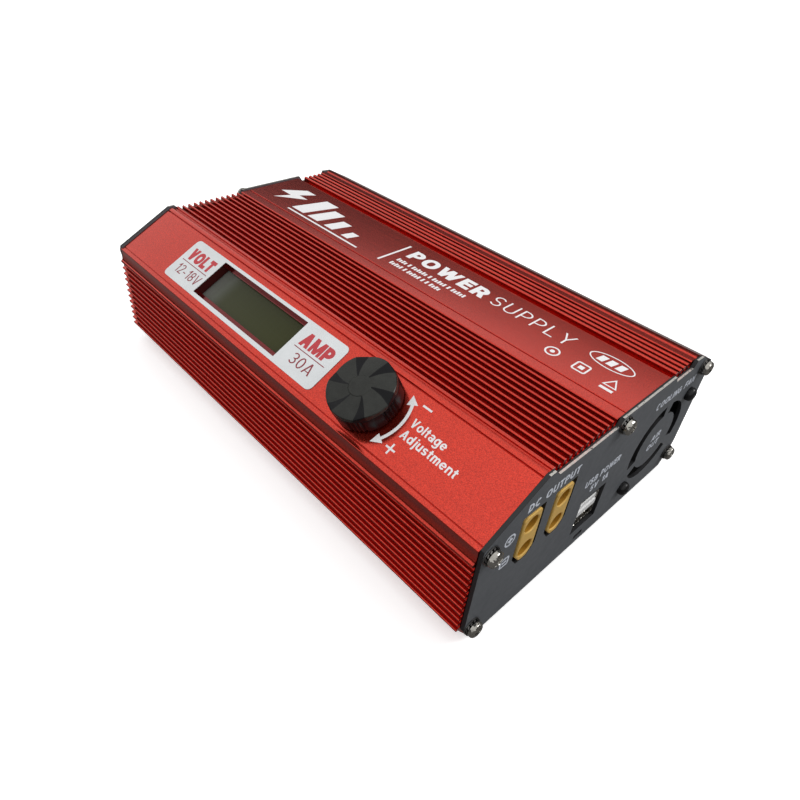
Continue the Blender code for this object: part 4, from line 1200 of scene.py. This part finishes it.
def knob_face():
    """six blades like a fan: a gentle one falls to a valley, a steep facet climbs again"""
    rows = [knob_ring(r) for r in (4.22, 4.45, 5.6, 7.2, 9.0, 10.6, KNOB_R - 0.75)]
    rows += [knob_ring(KNOB_R - 0.42, drop=0.10, reach=1.0),
             knob_ring(KNOB_R - 0.22, drop=0.36, reach=1.0),
             knob_ring(KNOB_R - 0.12, height=7.15, reach=1.0),
             knob_ring(KNOB_R - 0.42, height=SKIRT_TOP, reach=1.0)]
    angles = [math.atan2(y, x) for x, y, z in rows[0]]
    # (radius, rise) of the rings of the domed disc
    disc = [[(r * math.cos(a), r * math.sin(a), KNOB_H + rise) for a in angles]
            for r, rise in ((1.1, 0.295), (2.2, 0.27), (3.2, 0.22), (3.95, 0.15), (4.12, 0.05))]
    rows = disc + rows
    n = len(angles)
    verts = [(0.0, 0.0, KNOB_H + 0.30)] + [p for row in rows for p in row]
    verts.append((0.0, 0.0, SKIRT_TOP))
    faces = [(0, 1 + k, 1 + (k + 1) % n) for k in range(n)]
    for i in range(len(rows) - 1):
        o, o2 = 1 + i * n, 1 + (i + 1) * n
        for k in range(n):
            k2 = (k + 1) % n
            faces.append((o + k, o2 + k, o2 + k2, o + k2))
    last = 1 + (len(rows) - 1) * n
    faces += [(len(verts) - 1, last + (k + 1) % n, last + k) for k in range(n)]
    return verts, faces


def fluted(radius, depth):
    """radius as a function of the angle"""
    def at(a):
        flute = 0.0
        for middle in FLUTES:
            d = abs((math.degrees(a) - middle + 180.0) % 360.0 - 180.0)
            if d < FLUTE_HALF:
                flute = max(flute, 1.0 - (d / FLUTE_HALF) ** 2)
        return radius - depth * flute
    return at


def build_knob():
    skirt = lathe([
        (0, 0.75), (10.6, 0.75), (fluted(KNOB_R - 0.35, 0.3), 0.72), (fluted(KNOB_R, 0.65), 0.95),
        (fluted(KNOB_R, 0.8), 6.2), (fluted(KNOB_R - 0.06, 0.85), SKIRT_TOP),
        (fluted(KNOB_R - 0.30, 0.8), 7.35), (fluted(KNOB_R - 0.9, 0.4), 7.42), (0, 7.42)], 288)
    place = on_slope(KNOB_POS.x, KNOB_S)
    knob = piece("knob_cap", join([knob_face(), skirt]), KNOB, place, "knob", smooth=24,
                 replaces="voltage_knob", slot="knob_black")
    # the skirt and the steep facets take a darker copy of the knob black: painted shade
    knob.data.materials.append(KNOB_PAINTED_SHADE.material)
    to_knob = place.inverted()
    for polygon in knob.data.polygons:
        p = to_knob @ (polygon.center * 1000.0)
        r = math.hypot(p.x, p.y)
        valley, ridge = facet_span(blade_reach(r))
        a = math.degrees(math.atan2(p.y, p.x)) % BLADE_TURN
        if p.z < 7.6 or (r > 4.3 and valley < a < ridge):
            polygon.material_index = 1


build_knob()

# ------------------------------------------------------------------ screws
# (part of the radius, part of the height)
PAN_DOME = ((1, 0.34), (0.97, 0.56), (0.88, 0.75), (0.72, 0.89), (0.48, 0.97), (0.22, 1),
            (0, 1))


def cross(reach, width, z0, z1):
    """cross that tapers to half its size at z0"""
    pts = [(width, width), (reach, width), (reach, -width), (width, -width), (width, -reach),
           (-width, -reach), (-width, -width), (-reach, -width), (-reach, width),
           (-width, width), (-width, reach), (width, reach)]
    n = len(pts)
    verts = [(x * 0.5, y * 0.5, z0) for x, y in pts] + [(x, y, z1) for x, y in pts]
    faces = [tuple(range(n))[::-1], tuple(range(n, 2 * n))]
    faces += [(i, (i + 1) % n, n + (i + 1) % n, n + i) for i in range(n)]
    return verts, faces


def pan_head(name, node, place, r, height, z0, mat, slot, turn):
    """domed head with a cross recess, turned by some degrees"""
    stack = [(0, z0), (r * 0.97, z0), (r, z0 + 0.12)]
    stack += [(r * across, z0 + height * up) for across, up in PAN_DOME]
    place = place @ Matrix.Rotation(math.radians(turn), 4, "Z")
    head = piece(name, lathe(stack, 48), mat, place)
    top = z0 + height
    cut(head, cross(r * 0.68, r * 0.17, top - 1.5, top + 0.4), place)
    finish_piece(head, "case", smooth=35, replaces=node, slot=slot)


def washers(name, place, z0, height):
    """plain ring under a ring of twisted teeth"""
    flat = lathe([(1.4, z0), (3.42, z0), (3.5, z0 + 0.08), (3.5, z0 + 0.38), (3.42, z0 + 0.46),
                  (1.4, z0 + 0.46)], 48)
    teeth = 14
    base, twist = 0.48, 0.34
    verts, faces = [], []
    for k in range(teeth):
        for part, lift in ((0.0, 0.0), (0.62, twist)):
            a = (k + part) * 2 * math.pi / teeth
            for r, up in ((1.5, 0.1), (2.7, lift), (3.42, lift)):
                x, y, z = r * math.cos(a), r * math.sin(a), z0 + base + up
                verts += [(x, y, z), (x, y, z + (height - base - twist))]
        o = k * 12
        for p in (o, o + 2):
            faces += [(p, p + 6, p + 8, p + 2), (p + 1, p + 3, p + 9, p + 7)]
        faces += [(o + 4, o + 10, o + 11, o + 5), (o, o + 1, o + 7, o + 6)]
        for p in (o, o + 6):
            faces += [(p, p + 2, p + 3, p + 1), (p + 2, p + 4, p + 5, p + 3)]
    # the washers take the darker steel, painted shade under the screw heads
    piece(name, join([flat, (verts, faces)]), WASHER_PAINTED_SHADE, place, smooth=30)


for end, sign in (("output", 1.0), ("input", -1.0)):
    for i in range(5):
        node = f"{end}_plate_screw_{i + 1}"
        lo, hi = box(node)
        place = on_end(PLATE_OUT * sign, (lo.y + hi.y) / 2, (lo.z + hi.z) / 2, sign)
        washers(f"{end}_washers_{i + 1}", place, z0=0.06, height=1.25)
        pan_head(f"{end}_screw_head_{i + 1}", node, place, r=3.05, height=2.2, z0=1.32,
                 mat=STEEL, slot="zinc_steel", turn=17.0 + 53.0 * i)
for i in (1, 2):
    node = f"fan_screw_{i}"
    lo, hi = box(node)
    place = on_end(PLATE_OUT, (lo.y + hi.y) / 2, (lo.z + hi.z) / 2)
    pan_head(f"fan_screw_head_{i}", node, place, r=(hi.y - lo.y) / 2,
             height=hi.x - PLATE_OUT - 0.05, z0=0.05, mat=BLACK_OXIDE, slot="black_steel",
             turn=20.0 + 40 * i)


# ------------------------------------------------------------------ sockets
def section_box(name):
    """low and high x, then the section y0, y1, z0, z1 of a CAD node"""
    lo, hi = box(name)
    return lo.x, hi.x, lo.y - FRONT_Y, hi.y - FRONT_Y, lo.z - UNDER_Z, hi.z - UNDER_Z


def dc_socket(i):
    """block with two round wells, one above the other"""
    node = f"dc_socket_{i}"
    x0, x1, y0, y1, z0, z1 = section_box(node)
    y, z = (y0 + y1) / 2, (z0 + z1) / 2
    outline = [(y0 + 2.6, z0), (y1 - 2.6, z0), (y1, z0 + 3.6), (y1, z1 - 1.3), (y1 - 1.3, z1),
               (y0 + 1.3, z1), (y0, z1 - 1.3), (y0, z0 + 3.6)]
    middles = [z - 5.95, z + 5.95]
    place = on_end(x1)
    body = slab(fillet(outline, 0.5, 24), [circle(y, mid, 3.45, 36) for mid in middles],
                x0 - x1, 0.0, 0.3, 0.32)
    piece(f"socket_body_{i}", body, AMBER, place, smooth=32, replaces=node,
          slot="amber_nylon")
    # the sleeves inside the holes take the darker amber: painted shade in the bores
    wells = [slab(circle(y, mid, 3.44, 36), [circle(y, mid, 3.26, 36)], -9.0, -0.42)
             for mid in middles]
    piece(f"socket_wells_{i}", join(wells), AMBER_PAINTED_SHADE, place, smooth=32)


def usb_can():
    """folded shell with a back wall and two pairs of springs"""
    x0, x1, y0, y1, z0, z1 = section_box("usb_shell")
    middle = (y0 + y1) / 2
    back = x0 - x1
    outline = round_rect(y0, y1, z0, z1, 0.9, 5)
    parts = [slab(outline, [inset(outline, 0.45)], back + 0.8, 0.0, 0.0, 0.12),
             slab(outline, [], back, back + 0.8)]
    for y in (middle - 3.2, middle + 3.2):
        for low, high in ((z1 - 1.25, z1 - 0.55), (z0 + 0.55, z0 + 1.05)):
            parts.append(slab(rect(y - 1.3, y + 1.3, low, high), [], -7.0, -1.2, 0.0, 0.2))
    piece("usb_can", join(parts), STEEL, on_end(x1), smooth=30, replaces="usb_shell",
          slot="zinc_steel")


def usb_tongue():
    x0, x1, y0, y1, z0, z1 = section_box("usb_tongue")
    place = on_end(x1)
    tongue = slab(round_rect(y0, y1, z0, z1, 0.5, 4), [], x0 - x1, 0.0, 0.0, 0.3)
    piece("usb_insert", tongue, WHITE, place, smooth=30, replaces="usb_tongue",
          slot="white_plastic")
    outline = round_rect(y0 + 0.2, y1 - 0.2, z0 + 0.2, z0 + (z1 - z0) * 0.52, 0.4, 4)
    piece("usb_step", slab(outline, [], 0.0, 0.45, 0.0, 0.15), WHITE, place, smooth=30)
    pads = [slab(rect(y0 + 2.0 + 2.5 * k, y0 + 3.1 + 2.5 * k, z1 + 0.01, z1 + 0.12), [],
                 -8.0, -0.6) for k in range(4)]
    piece("usb_contacts", join(pads), GOLD, place)


for i in (1, 2):
    dc_socket(i)
usb_can()
usb_tongue()


# ------------------------------------------------------------------ floor, light, camera
def build_floor():
    """white to the camera, darker to the light it bounces"""
    half_m = 6
    mesh = bpy.data.meshes.new("floor")
    corners = rect(-half_m, half_m, -half_m, half_m)
    mesh.from_pydata([(x, y, 0) for x, y in corners], [], [(0, 1, 2, 3)])
    floor = bpy.data.objects.new("floor", mesh)
    SCENE.collection.objects.link(floor)
    m = Mat("pale_floor", rgb=(0.86, 0.86, 0.86), rough=0.9)
    seen = m.new("ShaderNodeLightPath").outputs["Is Camera Ray"]
    m.color(m.mix(seen, (0.16, 0.155, 0.15), (0.95, 0.95, 0.95)))
    m.link(seen, m.inputs["Emission Strength"])
    m.inputs["Emission Color"].default_value = (0.42, 0.42, 0.42, 1.0)
    mesh.materials.append(m.material)


# (place on the ramp, grey level) of the studio, from low to high
SKY = ((0.08, 0.03), (0.19, 0.07), (0.24, 0.18), (0.268, 0.62), (0.30, 1.20), (0.38, 0.92),
       (0.56, 0.90), (0.95, 1.12))
SKY_TILT = -0.35                         # the ramp sinks by this much of y
SKY_MIN_Y = -0.15


def build_world():
    """grey ramp by height for the light, plain white to the camera"""
    studio = bpy.data.worlds.new("studio")
    SCENE.world = studio
    studio.use_nodes = True
    nodes = Nodes(studio.node_tree)
    background = studio.node_tree.nodes["Background"]
    way = nodes.split(nodes.new("ShaderNodeTexCoord").outputs["Generated"])
    height = nodes.new("ShaderNodeMath", operation="MULTIPLY_ADD")
    height.inputs[1].default_value = SKY_TILT
    nodes.link(nodes.math("MAXIMUM", way["Y"], SKY_MIN_Y), height.inputs[0])
    nodes.link(way["Z"], height.inputs[2])
    ramp = nodes.new("ShaderNodeValToRGB")
    nodes.link(height.outputs[0], ramp.inputs[0])
    elements = ramp.color_ramp.elements
    elements[0].position, elements[1].position = SKY[0][0], SKY[-1][0]
    for position, _ in SKY[1:-1]:
        elements.new(position)
    for element, (_, grey) in zip(elements, SKY):
        element.color = (grey, grey, grey, 1)
    seen = nodes.new("ShaderNodeLightPath").outputs["Is Camera Ray"]
    nodes.link(nodes.mix(seen, ramp.outputs["Color"], (1.0, 1.0, 1.0)),
               background.inputs["Color"])
    background.inputs["Strength"].default_value = 1.0


def build_key_light():
    place_m = Vector((0.75, 0.85, 0.95))
    target_m = Vector((0.05, 0, 0.03))
    light = bpy.data.lights.new("soft_key", "AREA")
    light.shape = "RECTANGLE"
    light.size = light.size_y = 0.5
    light.energy = 7.0
    light.color = (1, 1, 1)
    ob = bpy.data.objects.new("soft_key", light)
    ob.location = place_m
    ob.rotation_euler = (target_m - place_m).to_track_quat("-Z", "Y").to_euler()
    SCENE.collection.objects.link(ob)


CAMERA_PLACE_m = Matrix((
    (0.68864833, -0.50516363, 0.52016650, 0.172736),
    (0.72082808, 0.39923236, -0.56658662, -0.164561),
    (0.07855165, 0.76512955, 0.63906683, 0.194746),
    (0.0, 0.0, 0.0, 1.0)))


def build_camera():
    camera = bpy.data.cameras.new("camera")
    camera.sensor_width = 36.0
    camera.lens = 27.860265
    camera.shift_x = -0.0179025          # parts of the image width
    camera.shift_y = 0.00417125
    camera.clip_start = 0.01
    ob = bpy.data.objects.new("camera", camera)
    ob.matrix_world = CAMERA_PLACE_m
    SCENE.collection.objects.link(ob)
    SCENE.camera = ob


build_floor()
build_world()
build_key_light()
build_camera()
SCENE.view_settings.view_transform = "Standard"
